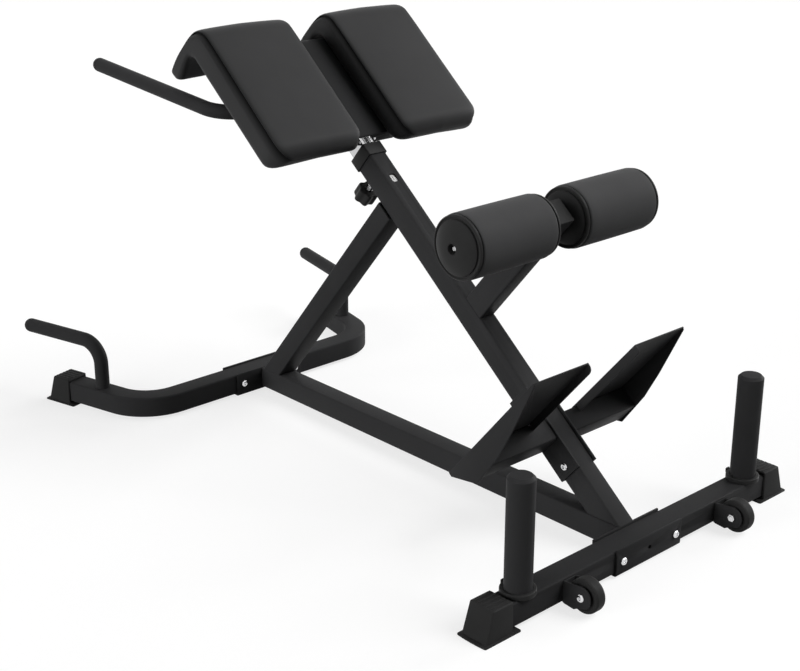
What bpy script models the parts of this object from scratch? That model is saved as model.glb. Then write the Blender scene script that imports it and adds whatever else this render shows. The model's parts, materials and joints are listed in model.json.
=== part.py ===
"""Hyperextension bench with hip pads, ankle rollers, foot plates and weight horns.

Lengths are in metres and +Z is up. +X points to the foot end, with the wheels, and the bench is
mirrored in the plane Y = 0. The left side, at -Y, is the left of a person who stands on the foot
plates and leans on the pads. The floor is Z = 0, and the origin is the middle of the footprint.
"""

import math

import bmesh
import bpy
from mathutils import Matrix, Vector

# Fits and resolution
GAP = 0.0003
RUNNING_GAP = 0.0003
BOLT_CLEARANCE = 0.0004
WELD_DISTANCE = 0.00001
CUT_MARGIN = 0.005
ROUND_SIDES = 28
WHEEL_SIDES = 24
BAR_SIDES = 14
BOLT_SIDES = 12
LOBE_STEPS = 6
CORNER_STEPS = 3
BEND_STEPS = 8

# Floor stabilizers, of one rectangular tube. The rear arms start where the centre lines cross.
TUBE_DEPTH = 0.0495
TUBE_HEIGHT = 0.0456
TUBE_WALL = 0.0025
TUBE_CORNER = 0.004
TUBE_CLEARANCE = 0.0073
FOOT_HALF_LENGTH = 0.3945
REAR_CORNER = 0.3196
REAR_BEND_RADIUS = 0.103
REAR_SPLAY = math.radians(14.0)
REAR_ARM_LENGTH = 0.2464

# Rubber caps on the stabilizer ends, measured from the cap's open edge
CAP_OVERLAP = 0.0405
CAP_WALL = 0.0028
CAP_TOP_LENGTH = 0.0475
CAP_BASE_LENGTH = 0.0645
CAP_TOP = 0.0595
CAP_BASE_SPREAD = 0.002
CAP_ROUNDING = 0.002
CAP_FLANGE_HEIGHT = 0.003
CAP_FLANGE_SPREAD = 0.004
CAP_FLANGE_REACH = 0.0065
CAP_FLANGE_BULGE = 0.0015
CAP_FLANGE_BACK = 0.015
CAP_FLANGE_CORNER = 0.003
CAP_RIB_COUNT = 5
CAP_RIB_PITCH = 0.0095
CAP_RIB_WIDTH = 0.003
CAP_RIB_HEIGHT = 0.0012

# Brackets round the stabilizers, and the bolts through them
BRACKET_HALF_WIDTH = 0.0915
BRACKET_SHEET = 0.004
BRACKET_BOLT_SPACING = 0.148
BRACKET_MARK_SIZE = 0.008
BOLT_RADIUS = 0.004
BOLT_HEAD_RADIUS = 0.0075
BOLT_HEAD_HEIGHT = 0.005
NUT_HEIGHT = 0.005
BOLT_END = 0.0015

# Base beam between the brackets
BEAM_WIDTH = 0.0464
BEAM_HEIGHT = 0.047
BEAM_WALL = 0.003
BEAM_TOP = 0.0554

# Main post. Its slanted frame has n square to the post's front face and u up along the post.
POST_SLOPE = math.radians(40.0)
POST_WIDTH = 0.042
POST_DEPTH = 0.0514
POST_WALL = 0.003
POST_CORNER = 0.004
POST_FRONT = 0.0107
POST_TOP_ABOVE_PIN = 0.053

# Strut from the back of the post down to the beam, square to the post
STRUT_WIDTH = 0.0516
STRUT_DEPTH = 0.0444
STRUT_WALL = 0.0045
STRUT_HEIGHT_ON_POST = 0.853
STRUT_TO_REAR_BRACKET = 0.00894539

# Sliding pad post, its collar, position marks and pop pin
SLIDE_PITCH = 0.040
SLIDE_STEPS = 5
PAD_POST_ABOVE_PLATE_BOTTOM = 0.240
PAD_POST_BELOW_LAST_PIN = 0.085
PAD_POST_WALL = 0.003
COLLAR_HEIGHT = 0.027
COLLAR_WALL = 0.0028
COLLAR_LIP = 0.0037
WINDOW_WIDTH = 0.015
WINDOW_LENGTH = 0.019
WINDOW_CORNER = 0.004
WINDOW_ABOVE_STRUT = 0.0395
LABEL_WIDTH = 0.012
LABEL_THICKNESS = 0.0003
LABEL_RECESS = 0.0008
PIN_ABOVE_STRUT = 0.072
PIN_RADIUS = 0.004
PIN_TIP_CHAMFER = 0.0012
PIN_ENGAGEMENT = 0.009
PIN_BARREL_RADIUS = 0.0076
PIN_BARREL_LENGTH = 0.0235
PIN_HEXAGON_RADIUS = 0.0109
PIN_HEXAGON_LENGTH = 0.0096
PIN_KNOB_GAP = 0.0025
PIN_KNOB_RADIUS = 0.021
PIN_KNOB_LOBE = 0.002
PIN_KNOB_LOBES = 6
PIN_KNOB_LENGTH = 0.0295
PIN_KNOB_ROUNDING = 0.0025
PIN_KNOB_POCKET_CLEARANCE = 0.0005
PIN_KNOB_POCKET_SPARE = 0.001
PIN_SOCKET_DEPTH = 0.0175

# Roller arm on the front of the post, and the ankle rollers
ROLLER_HEIGHT_ON_POST = 0.5725
ROLLER_REACH = 0.2776
ROLLER_ARM_WIDTH = 0.041
ROLLER_ARM_DEPTH = 0.0507
ROLLER_ARM_WALL = 0.0025
ROLLER_ARM_END = 0.305
PLUG_HEAD = 0.0027
PLUG_DEPTH = 0.015
ROLLER_RADIUS = 0.0592
ROLLER_INNER_END = 0.0432
ROLLER_FOAM_LENGTH = 0.1853
ROLLER_FOAM_EDGE = 0.004
ROLLER_CAP_RADIUS = 0.0575
ROLLER_CAP_NECK = 0.054
ROLLER_CAP_NECK_LENGTH = 0.002
ROLLER_CAP_RING = 0.0075
ROLLER_CAP_ROUNDING = 0.0025
ROLLER_CAP_CREST = 0.053
ROLLER_CAP_GROOVE = 0.0055
ROLLER_CAP_DISC = 0.0495
ROLLER_CAP_DISC_EDGE = 0.0105
ROLLER_CAP_FACE = 0.0195
ROLLER_CAP_RECESS = 0.0095
ROLLER_CAP_LIP = 0.0045
AXLE_RADIUS = 0.012
AXLE_BORE = 0.0043
AXLE_PROUD = 0.0085
AXLE_SCREW_HEAD = 0.0055
AXLE_SCREW_HEIGHT = 0.0055
AXLE_SCREW_CHAMFER = 0.001
AXLE_SCREW_LENGTH = 0.018

# Footrest: bracket round the post, crossmembers and bent foot plates
FOOTREST_BELOW_PLATE = 0.111
FOOTREST_ABOVE_PLATE = 0.069
FOOTREST_SHEET = 0.004
FOOTREST_PROUD = 0.0043
FOOTREST_BOLT_UP = 0.018
CROSS_HEIGHT = 0.045
CROSS_OVERHANG = 0.0023
CROSS_WALL = 0.0025
PLATE_HEIGHT_ON_POST = 0.317
PLATE_SHEET = 0.003
PLATE_INNER = 0.0636
PLATE_OUTER = 0.2045
PLATE_TOE = -0.093
PLATE_HEEL = 0.217
PLATE_FLANGE = 0.014
PLATE_FLANGE_CORNER = 0.012
PLATE_SIDE_DEPTH = 0.050
PLATE_SIDE_END_DEPTH = 0.006
PLATE_SIDE_DEEP_START = -0.045
PLATE_SIDE_DEEP_END = 0.040
PLATE_SIDE_WAIST = 0.104
PLATE_SIDE_WAIST_DEPTH = 0.031
PLATE_HEEL_CORNER = 0.003

# Weight horns on the foot stabilizer
HORN_SPREAD = 0.3167
HORN_SETBACK = 0.023
HORN_RADIUS = 0.0247
HORN_WALL = 0.003
HORN_TOP = 0.2693
HORN_CHAMFER = 0.0055
HORN_COLLAR_RADIUS = 0.032
HORN_COLLAR_HEIGHT = 0.009
HORN_COLLAR_CHAMFER = 0.002
HORN_TAB_WIDTH = 0.011
HORN_TAB_THICKNESS = 0.0045
HORN_TAB_HEIGHT = 0.0105
HORN_TAB_ROUNDING = 0.0015

# Wheels in forks on the front of the foot stabilizer
WHEEL_SPREAD = 0.2136
WHEEL_REACH = 0.0413
WHEEL_HEIGHT = 0.0339
WHEEL_RADIUS = 0.032
WHEEL_WIDTH = 0.0226
WHEEL_EDGE = 0.003
WHEEL_TREAD = 0.008
WHEEL_HUB_RADIUS = 0.013
WHEEL_RECESS = 0.002
WHEEL_STEP = 0.001
FORK_WIDTH = 0.0326
FORK_SHEET = 0.003
FORK_NOSE_RADIUS = 0.021
FORK_TOP = 0.049
FORK_BACK_BOTTOM = 0.009
FORK_LIP_START = 0.004
FORK_LIP_START_HEIGHT = 0.0072
FORK_LIP_END = 0.026
FORK_LIP_END_HEIGHT = 0.0052

# Push-up handles on the rear stabilizer's arms
PUSHUP_RADIUS = 0.0155
PUSHUP_ARM_PLACE = 0.1274
PUSHUP_HEIGHT = 0.156
PUSHUP_REACH = 0.2282
PUSHUP_BEND = 0.048

# Hip pads, the plate that carries them, and the handle bar behind
PAD_INNER = 0.0523
PAD_WIDTH = 0.2121
PAD_BELOW_PLATE = 0.0415
PAD_FACE = 0.0673
PAD_UNDERSIDE = 0.0122
PAD_LENGTH = 0.350
PAD_CURL_THICKNESS = 0.0275
PAD_LIP_REACH = 0.066
PAD_SIDE_STEP = 0.0025
PAD_SIDE_DEPTH = 0.012
PAD_FACE_ROUNDING = 0.007
PAD_BACK_ROUNDING = 0.002
PAD_BACK_SWELL = 0.009
PAD_FACE_CORNER = 0.020
PAD_BACK_CORNER = 0.014
PAD_CROWN = 0.002
PAD_CROWN_PLACE = 0.014
PAD_PLATE_WIDTH = 0.240
PAD_PLATE_ABOVE_POST = 0.022
PAD_PLATE_SHEET = 0.004
PAD_PLATE_FLANGE_WIDTH = 0.172
PAD_PLATE_FLANGE_DEPTH = 0.0145
PAD_PLATE_BEND = 0.025
PAD_PLATE_CURL_GAP = 0.009
PAD_PLATE_CURL_DEPTH = 0.040
PAD_SCREW_SPREAD = 0.028
PAD_SCREW_RADIUS = 0.002
PAD_SCREW_HEAD = 0.004
PAD_SCREW_HEAD_HEIGHT = 0.0025
PAD_SCREW_LENGTH = 0.008
HANDLE_RADIUS = 0.015
HANDLE_ABOVE_PLATE_BOTTOM = 0.1555
HANDLE_SPREAD = 0.235
HANDLE_BEND = 0.060
HANDLE_RISE = math.radians(5.1)
HANDLE_REACH = 0.4615

# Heights along the post, each from the piece below it
PIN_HEIGHT_ON_POST = STRUT_HEIGHT_ON_POST + PIN_ABOVE_STRUT
WINDOW_HEIGHT_ON_POST = STRUT_HEIGHT_ON_POST + WINDOW_ABOVE_STRUT
POST_TOP = PIN_HEIGHT_ON_POST + POST_TOP_ABOVE_PIN
PAD_PLATE_BOTTOM = POST_TOP + PAD_PLATE_ABOVE_POST
PAD_BOTTOM = PAD_PLATE_BOTTOM - PAD_BELOW_PLATE
PAD_CURL_OUTER = PAD_BOTTOM + PAD_LENGTH
PAD_CURL_INNER = PAD_CURL_OUTER - PAD_CURL_THICKNESS
HANDLE_HEIGHT_ON_POST = PAD_PLATE_BOTTOM + HANDLE_ABOVE_PLATE_BOTTOM

# Places that follow from the sizes. The rear tube lies just behind the strut's foot on the beam.
TUBE_TOP = TUBE_CLEARANCE + TUBE_HEIGHT
TUBE_MIDDLE = TUBE_CLEARANCE + TUBE_HEIGHT / 2
BRACKET_OUTER = TUBE_DEPTH / 2 + GAP + BRACKET_SHEET
STRUT_FOOT = STRUT_HEIGHT_ON_POST / math.cos(POST_SLOPE) - (BEAM_TOP + GAP) * math.tan(POST_SLOPE)
STRUT_FOOT_BACK = STRUT_FOOT + STRUT_DEPTH / 2 / math.cos(POST_SLOPE)
REAR_OFFSET = STRUT_FOOT_BACK + STRUT_TO_REAR_BRACKET + BRACKET_OUTER
PUSHUP_X = -REAR_OFFSET - PUSHUP_ARM_PLACE * math.cos(REAR_SPLAY)
PUSHUP_Y = REAR_CORNER + PUSHUP_ARM_PLACE * math.sin(REAR_SPLAY)
FRONT_END = WHEEL_REACH + WHEEL_RADIUS
REAR_END = PUSHUP_X - (PUSHUP_REACH - PUSHUP_RADIUS) * math.cos(REAR_SPLAY) - PUSHUP_RADIUS
FRONT_X = -(FRONT_END + REAR_END) / 2
POST_BACK = POST_FRONT - POST_DEPTH
POST_MIDDLE = (POST_FRONT + POST_BACK) / 2
PAD_POST_WIDTH = POST_WIDTH - 2 * POST_WALL - 2 * RUNNING_GAP
PAD_POST_DEPTH = POST_DEPTH - 2 * POST_WALL - 2 * RUNNING_GAP
PAD_POST_FRONT = POST_FRONT - POST_WALL - RUNNING_GAP
PAD_POST_BACK = PAD_POST_FRONT - PAD_POST_DEPTH
SLIDE_TRAVEL = SLIDE_PITCH * SLIDE_STEPS
PAD_POST_TOP = PAD_PLATE_BOTTOM + PAD_POST_ABOVE_PLATE_BOTTOM
PAD_POST_BOTTOM = PIN_HEIGHT_ON_POST - SLIDE_TRAVEL - PAD_POST_BELOW_LAST_PIN
PAD_MIDDLE = PAD_INNER + PAD_WIDTH / 2
CROSS_FRONT = POST_FRONT
CROSS_BACK = POST_BACK - CROSS_OVERHANG
CROSS_BOTTOM = PLATE_HEIGHT_ON_POST - CROSS_HEIGHT
FOOTREST_BOTTOM = PLATE_HEIGHT_ON_POST - FOOTREST_BELOW_PLATE
FOOTREST_TOP = PLATE_HEIGHT_ON_POST + FOOTREST_ABOVE_PLATE

SIDES = {"left": -1, "right": 1}
LOOKS = {
    "powder_coat": ((0.030, 0.030, 0.031), 0.42, 0.0),
    "vinyl": ((0.035, 0.035, 0.036), 0.50, 0.0),
    "foam": ((0.040, 0.040, 0.041), 0.75, 0.0),
    "black_plastic": ((0.026, 0.026, 0.027), 0.50, 0.0),
    "black_rubber": ((0.022, 0.022, 0.022), 0.70, 0.0),
    "chrome": ((0.75, 0.75, 0.76), 0.12, 1.0),
    "zinc_steel": ((0.60, 0.60, 0.61), 0.28, 1.0),
    "label_white": ((0.80, 0.80, 0.80), 0.55, 0.0),
}


def clear_scene():
    """Removes every object that the file opens with."""
    for item in list(bpy.data.objects):
        bpy.data.objects.remove(item)


def new_collection(name, hidden=False):
    """Adds a collection to the scene."""
    group = bpy.data.collections.new(name)
    bpy.context.scene.collection.children.link(group)
    group.hide_render = hidden
    return group


def make_look(name):
    """Makes the material of one kind of surface."""
    colour, roughness, metallic = LOOKS[name]
    look = bpy.data.materials.new(name)
    look.use_nodes = True
    surface = look.node_tree.nodes["Principled BSDF"]
    surface.inputs["Base Color"].default_value = (*colour, 1.0)
    surface.inputs["Roughness"].default_value = roughness
    surface.inputs["Metallic"].default_value = metallic
    return look


clear_scene()
PARTS = new_collection("hyperextension_bench")
TOOLS = new_collection("shaping_solids", hidden=True)
MATERIALS = {name: make_look(name) for name in LOOKS}


def empty(name, parent=None, location=(0, 0, 0), rotation=(0, 0, 0)):
    """Adds a frame that pieces are parented to."""
    frame = bpy.data.objects.new(name, None)
    PARTS.objects.link(frame)
    return place(frame, parent, location, rotation)


def place(item, parent, location, rotation=(0, 0, 0)):
    """Puts an object at a place in its parent's frame."""
    item.parent = parent
    item.location = location
    item.rotation_euler = rotation
    return item


def add_piece(name, mesh, look, parent=None, location=(0, 0, 0), rotation=(0, 0, 0)):
    """Adds a sub-part with its material."""
    if not mesh.materials:
        mesh.materials.append(MATERIALS[look])
    piece = bpy.data.objects.new(name, mesh)
    PARTS.objects.link(piece)
    return place(piece, parent, location, rotation)


def shape_with(piece, mesh, operation, location=(0, 0, 0), rotation=(0, 0, 0)):
    """Cuts a solid from a sub-part, or joins one to it, at a place in the sub-part's own frame."""
    tool = bpy.data.objects.new(piece.name + "_" + operation.lower(), mesh)
    TOOLS.objects.link(tool)
    tool.hide_render = True
    tool.display_type = "WIRE"
    place(tool, piece, location, rotation)
    step = piece.modifiers.new(operation.title(), "BOOLEAN")
    step.operation = operation
    step.object = tool


def cut(piece, mesh, location=(0, 0, 0), rotation=(0, 0, 0)):
    """Cuts a solid from a sub-part."""
    shape_with(piece, mesh, "DIFFERENCE", location, rotation)


def join(piece, mesh, location=(0, 0, 0), rotation=(0, 0, 0)):
    """Joins a solid to a sub-part."""
    shape_with(piece, mesh, "UNION", location, rotation)


def settled_mesh(name, data, modifiers=()):
    """Evaluates a curve, or a mesh under some modifiers, into a welded mesh."""
    draft = bpy.data.objects.new(name + "_draft", data)
    bpy.context.scene.collection.objects.link(draft)
    for kind, settings in modifiers:
        step = draft.modifiers.new(kind.title(), kind)
        for setting, value in settings.items():
            setattr(step, setting, value)
    view = bpy.context.evaluated_depsgraph_get()
    mesh = bpy.data.meshes.new_from_object(draft.evaluated_get(view))
    bpy.data.objects.remove(draft)
    mesh.name = name
    finish_mesh(mesh)
    return mesh


def finish_mesh(mesh, turn=None):
    """Welds a mesh, turns it if asked, faces it outward and shades its round stretches smooth."""
    work = bmesh.new()
    work.from_mesh(mesh)
    if turn:
        work.transform(turn)
    bmesh.ops.remove_doubles(work, verts=work.verts, dist=WELD_DISTANCE)
    bmesh.ops.recalc_face_normals(work, faces=work.faces)
    work.to_mesh(mesh)
    work.free()
    mesh.shade_smooth()
    mesh.set_sharp_from_angle(angle=math.radians(35))


def box_mesh(name, size, centre=(0, 0, 0)):
    """A box of the given size."""
    mesh = bpy.data.meshes.new(name)
    work = bmesh.new()
    bmesh.ops.create_cube(work, size=1.0)
    bmesh.ops.scale(work, vec=size, verts=work.verts)
    bmesh.ops.translate(work, vec=centre, verts=work.verts)
    work.to_mesh(mesh)
    work.free()
    return mesh


def span_box_mesh(name, *spans):
    """A box given by its low and high value along each axis."""
    size = [high - low for low, high in spans]
    centre = [(high + low) / 2 for low, high in spans]
    return box_mesh(name, size, centre)


def cylinder_mesh(name, radius, length, along="Z", sides=BOLT_SIDES, places=((0, 0, 0),)):
    """A cylinder, or a prism of few sides, centred on each of some places."""
    mesh = bpy.data.meshes.new(name)
    work = bmesh.new()
    for centre in places:
        bmesh.ops.create_cone(
            work,
            cap_ends=True,
            segments=sides,
            radius1=radius,
            radius2=radius,
            depth=length,
            matrix=Matrix.Translation(centre) @ AXIS_TURNS[along],
        )
    work.to_mesh(mesh)
    work.free()
    return mesh


AXIS_TURNS = {
    "Z": Matrix.Identity(4),
    "X": Matrix.Rotation(math.radians(90), 4, "Y"),
    "Y": Matrix.Rotation(math.radians(-90), 4, "X"),
}
OUTLINE_TURNS = {
    "Z": Matrix.Identity(4),
    "X": Matrix(((0, 0, 1, 0), (1, 0, 0, 0), (0, 1, 0, 0), (0, 0, 0, 1))),
    "Y": Matrix(((1, 0, 0, 0), (0, 0, 1, 0), (0, 1, 0, 0), (0, 0, 0, 1))),
}


def outline_mesh(name, outlines, low, high, along="Z"):
    """A flat outline, with any holes after it, carried from low to high along one axis.

    The outlines give (x, y) along Z, (y, z) along X and (x, z) along Y.
    """
    curve = bpy.data.curves.new(name, "CURVE")
    curve.dimensions = "2D"
    curve.fill_mode = "BOTH"
    curve.extrude = (high - low) / 2
    for outline in outlines:
        spline = curve.splines.new("POLY")
        spline.points.add(len(outline) - 1)
        for point, (first, second) in zip(spline.points, outline):
            point.co = (first, second, 0.0, 1.0)
        spline.use_cyclic_u = True
    mesh = settled_mesh(name, curve)
    finish_mesh(mesh, OUTLINE_TURNS[along] @ Matrix.Translation((0, 0, (low + high) / 2)))
    return mesh


def turned_mesh(name, profile, sides=ROUND_SIDES, closed=False, along="Z"):
    """A profile of (radius, height) points, down its outer side, turned about an axis."""
    draft = bpy.data.meshes.new(name + "_profile")
    count = len(profile)
    edges = [(index, index + 1) for index in range(count - 1)]
    if closed:
        edges.append((count - 1, 0))
    draft.from_pydata([(radius, 0.0, height) for radius, height in profile], edges, [])
    settings = {
        "axis": "Z",
        "steps": sides,
        "render_steps": sides,
        "use_merge_vertices": True,
        "merge_threshold": 0.0001,
    }
    mesh = settled_mesh(name, draft, [("SCREW", settings)])
    finish_mesh(mesh, AXIS_TURNS[along])
    return mesh


def tube_mesh(name, points, radius, scales, sides=BAR_SIDES):
    """A round bar along some points, with its radius scaled at each of them."""
    curve = bpy.data.curves.new(name, "CURVE")
    curve.dimensions = "3D"
    curve.bevel_depth = radius
    curve.bevel_resolution = sides // 2 - 2
    curve.use_fill_caps = True
    spline = curve.splines.new("POLY")
    spline.points.add(len(points) - 1)
    for point, place_on_bar, scale in zip(spline.points, points, scales):
        point.co = (*place_on_bar, 1.0)
        point.radius = scale
    return settled_mesh(name, curve)


def arc(centre, radius, start, stop, steps):
    """Points on an arc in a plane, with angles in degrees."""
    angles = [math.radians(start + (stop - start) * step / steps) for step in range(steps + 1)]
    return [(centre[0] + radius * math.cos(a), centre[1] + radius * math.sin(a)) for a in angles]


def rounded_rectangle(width, height, corner, centre=(0, 0), steps=CORNER_STEPS):
    """An outline with four round corners."""
    points = []
    for sign_a, sign_b, start in ((1, 1, 0), (-1, 1, 90), (-1, -1, 180), (1, -1, 270)):
        middle = (
            centre[0] + sign_a * (width / 2 - corner),
            centre[1] + sign_b * (height / 2 - corner),
        )
        points += arc(middle, corner, start, start + 90, steps)
    return points


def tube_outlines(width, height, corner, wall, centre=(0, 0)):
    """The outer and inner outline of a rectangular tube."""
    inner = rounded_rectangle(
        width - 2 * wall, height - 2 * wall, max(corner - wall, wall / 3), centre, 1
    )
    return [rounded_rectangle(width, height, corner, centre), inner]


def bent_path(corners, radius, steps=BEND_STEPS):
    """Replaces each inner corner of a path by an arc of the given radius."""
    corners = [Vector(corner) for corner in corners]
    points = [corners[0]]
    for before, corner, after in zip(corners, corners[1:], corners[2:]):
        arriving = (corner - before).normalized()
        leaving = (after - corner).normalized()
        turn = arriving.angle(leaving)
        setback = radius * math.tan(turn / 2)
        inward = (leaving - arriving).normalized()
        centre = corner + inward * (radius / math.cos(turn / 2))
        start = corner - arriving * setback - centre
        for step in range(steps + 1):
            share = step / steps
            first = math.sin((1 - share) * turn) / math.sin(turn)
            second = math.sin(share * turn) / math.sin(turn)
            finish = corner + leaving * setback - centre
            points.append(centre + start * first + finish * second)
    points.append(corners[-1])
    return points


def band_outline(path, width):
    """The outline of a band of even width along a flat path."""
    path = [Vector(point) for point in path]
    sides = ([], [])
    for index, point in enumerate(path):
        arriving = (point - path[max(index - 1, 0)]).normalized()
        leaving = (path[min(index + 1, len(path) - 1)] - point).normalized()
        along = (arriving + leaving).normalized()
        across = Vector((-along.y, along.x))
        reference = leaving if arriving.length == 0 else arriving
        spread = width / 2 / max(along.dot(reference), 0.5)
        sides[0].append(tuple(point + across * spread))
        sides[1].append(tuple(point - across * spread))
    return sides[0] + sides[1][::-1]


def domed_bar(corners, bend, radius, domed_start=False):
    """Points and radius scales of a bent bar whose last end, or both ends, are half balls."""
    points = bent_path(corners, bend)
    dome = [(math.sin(math.radians(a)), math.cos(math.radians(a))) for a in (0, 30, 55, 75, 86)]
    heading = (points[-1] - points[-2]).normalized()
    base = points.pop() - heading * radius
    ends = [(base + heading * radius * far, near) for far, near in dome]
    scales = [1.0] * len(points) + [scale for _, scale in ends]
    points += [point for point, _ in ends]
    if domed_start:
        heading = (points[0] - points[1]).normalized()
        base = points.pop(0) - heading * radius
        scales.pop(0)
        starts = [(base + heading * radius * far, near) for far, near in reversed(dome)]
        points = [point for point, _ in starts] + points
        scales = [scale for _, scale in starts] + scales
    return points, scales


def bolt_mesh(name, grip, head_radius, head_height, shank_radius):
    """A domed bolt along Z: its head sits above Z = 0, and the shank runs down through the grip."""
    bottom = -grip - NUT_HEIGHT - BOLT_END
    dome = [
        (head_radius * across, head_height * up) for across, up in arc((0, 0), 1.0, 90, 0, 3)
    ]
    profile = dome + [(shank_radius, 0.0), (shank_radius, bottom), (0.0, bottom)]
    return turned_mesh(name, profile, sides=BOLT_SIDES)


def add_bolt(name, grip, look, parent, location, rotation, shank=BOLT_RADIUS):
    """A bolt with its nut, as one sub-part."""
    mesh = bolt_mesh(name, grip, BOLT_HEAD_RADIUS, BOLT_HEAD_HEIGHT, shank)
    bolt = add_piece(name, mesh, look, parent, location, rotation)
    nut = cylinder_mesh(name + "_nut", BOLT_HEAD_RADIUS, NUT_HEIGHT, sides=6)
    join(bolt, nut, (0, 0, -grip - NUT_HEIGHT / 2))
    return bolt


def make_foot_stabilizer():
    """The straight tube across the foot end, with bolt holes through the bracket's place."""
    outlines = tube_outlines(TUBE_DEPTH, TUBE_HEIGHT, TUBE_CORNER, TUBE_WALL)
    half = FOOT_HALF_LENGTH
    mesh = outline_mesh("foot_stabilizer", outlines, -half, half, along="Y")
    place_x = FRONT_X - TUBE_DEPTH / 2
    tube = add_piece("foot_stabilizer", mesh, "powder_coat", None, (place_x, 0, TUBE_MIDDLE))
    drill_bracket_holes(tube)


def drill_bracket_holes(piece):
    """Cuts the two bracket bolt holes through a piece whose origin is the tube's middle."""
    reach = TUBE_DEPTH + 2 * BRACKET_SHEET + 2 * CUT_MARGIN
    places = [(0, sign * BRACKET_BOLT_SPACING / 2, 0) for sign in SIDES.values()]
    radius = BOLT_RADIUS + BOLT_CLEARANCE
    cut(piece, cylinder_mesh("bracket_holes", radius, reach, along="X", places=places))


def rear_plan(extra):
    """The rear stabilizer's centre line seen from above, its arms extended by some length."""
    end_x, end_y = rear_arm_place(REAR_ARM_LENGTH + extra)
    corners = [(end_x, -end_y), (0, -REAR_CORNER), (0, REAR_CORNER), (end_x, end_y)]
    return bent_path(corners, REAR_BEND_RADIUS)


def rear_arm_place(reach):
    """A place on the right rear arm's centre line, seen from the middle of the rear tube."""
    return -reach * math.cos(REAR_SPLAY), REAR_CORNER + reach * math.sin(REAR_SPLAY)


def make_rear_stabilizer():
    """The tube across the rear end, bent at both sides into splayed arms."""
    half = TUBE_HEIGHT / 2
    outer = [band_outline(rear_plan(0.0), TUBE_DEPTH)]
    inner = [band_outline(rear_plan(CUT_MARGIN), TUBE_DEPTH - 2 * TUBE_WALL)]
    mesh = outline_mesh("rear_stabilizer", outer, -half, half)
    soften_rims(mesh, half)
    place_x = FRONT_X - REAR_OFFSET
    tube = add_piece("rear_stabilizer", mesh, "powder_coat", None, (place_x, 0, TUBE_MIDDLE))
    cut(tube, outline_mesh("rear_hollow", inner, TUBE_WALL - half, half - TUBE_WALL))
    drill_bracket_holes(tube)


def soften_rims(mesh, half):
    """Bevels the long edges at the top and bottom of an upright outline solid."""
    work = bmesh.new()
    work.from_mesh(mesh)
    rims = [
        edge
        for edge in work.edges
        if len(edge.link_faces) == 2
        and edge.calc_face_angle() > math.radians(60)
        and all(abs(abs(vertex.co.z) - half) < WELD_DISTANCE for vertex in edge.verts)
    ]
    bmesh.ops.bevel(work, geom=rims, offset=TUBE_CORNER, segments=2, profile=0.5, affect="EDGES")
    work.to_mesh(mesh)
    work.free()
    mesh.shade_smooth()
    mesh.set_sharp_from_angle(angle=math.radians(50))


def cap_mesh():
    """A rubber end cap that sleeves over the tube, with a spread base and a ribbed top."""
    half_top = TUBE_DEPTH / 2 + CAP_WALL
    half_base = half_top + CAP_BASE_SPREAD
    mesh = box_mesh("foot_cap", (1, 1, 1), (0.5, 0, 0.5))
    for vertex in mesh.vertices:
        on_top = vertex.co.z > 0.5
        length = CAP_TOP_LENGTH if on_top else CAP_BASE_LENGTH
        half = half_top if on_top else half_base
        side = math.copysign(half, vertex.co.y)
        height = CAP_TOP if on_top else 0.0
        vertex.co = (length if vertex.co.x > 0.5 else 0.0, side, height)
    return mesh


def flange_outline():
    """The cap's foot seen from above: a rounded rectangle whose outer end bulges a little."""
    half = TUBE_DEPTH / 2 + CAP_WALL + CAP_BASE_SPREAD + CAP_FLANGE_SPREAD
    end = CAP_BASE_LENGTH + CAP_FLANGE_REACH
    size = (end + CAP_FLANGE_BACK, 2 * half)
    middle = ((end - CAP_FLANGE_BACK) / 2, 0)
    outline = rounded_rectangle(*size, CAP_FLANGE_CORNER, middle, 2)
    for share in (-0.5, 0.0, 0.5):
        outline.append((end + CAP_FLANGE_BULGE * (1 - share * share), share * half))
    return outline


def make_cap(name, location, heading):
    """One end cap. Its own X runs outward along the tube from the cap's open edge."""
    cap = add_piece(name, cap_mesh(), "black_rubber", None, location, (0, 0, heading))
    rounding = cap.modifiers.new("Rounding", "BEVEL")
    rounding.width = CAP_ROUNDING
    rounding.segments = 1
    join(cap, outline_mesh(name + "_flange", [flange_outline()], 0.0, CAP_FLANGE_HEIGHT))
    for index in range(CAP_RIB_COUNT):
        across = (index - (CAP_RIB_COUNT - 1) / 2) * CAP_RIB_PITCH
        spans = (
            (CAP_RIB_WIDTH, CAP_TOP_LENGTH - CAP_RIB_WIDTH),
            (across - CAP_RIB_WIDTH / 2, across + CAP_RIB_WIDTH / 2),
            (CAP_TOP - CAP_RIB_HEIGHT, CAP_TOP + CAP_RIB_HEIGHT),
        )
        join(cap, span_box_mesh(name + "_rib", *spans))
    pocket = (
        (-CUT_MARGIN - CAP_FLANGE_BACK, CAP_OVERLAP + GAP),
        (-TUBE_DEPTH / 2 - GAP, TUBE_DEPTH / 2 + GAP),
        (TUBE_CLEARANCE - GAP, TUBE_TOP + GAP),
    )
    cut(cap, span_box_mesh(name + "_pocket", *pocket))


def make_caps():
    """The four end caps."""
    rear_x, rear_y = rear_arm_place(REAR_ARM_LENGTH - CAP_OVERLAP)
    for side, sign in SIDES.items():
        front = (FRONT_X - TUBE_DEPTH / 2, sign * (FOOT_HALF_LENGTH - CAP_OVERLAP), 0)
        make_cap("foot_cap_" + side, front, sign * math.radians(90))
        rear = (FRONT_X - REAR_OFFSET + rear_x, sign * rear_y, 0)
        make_cap("rear_cap_" + side, rear, sign * (math.pi - REAR_SPLAY))


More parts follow.
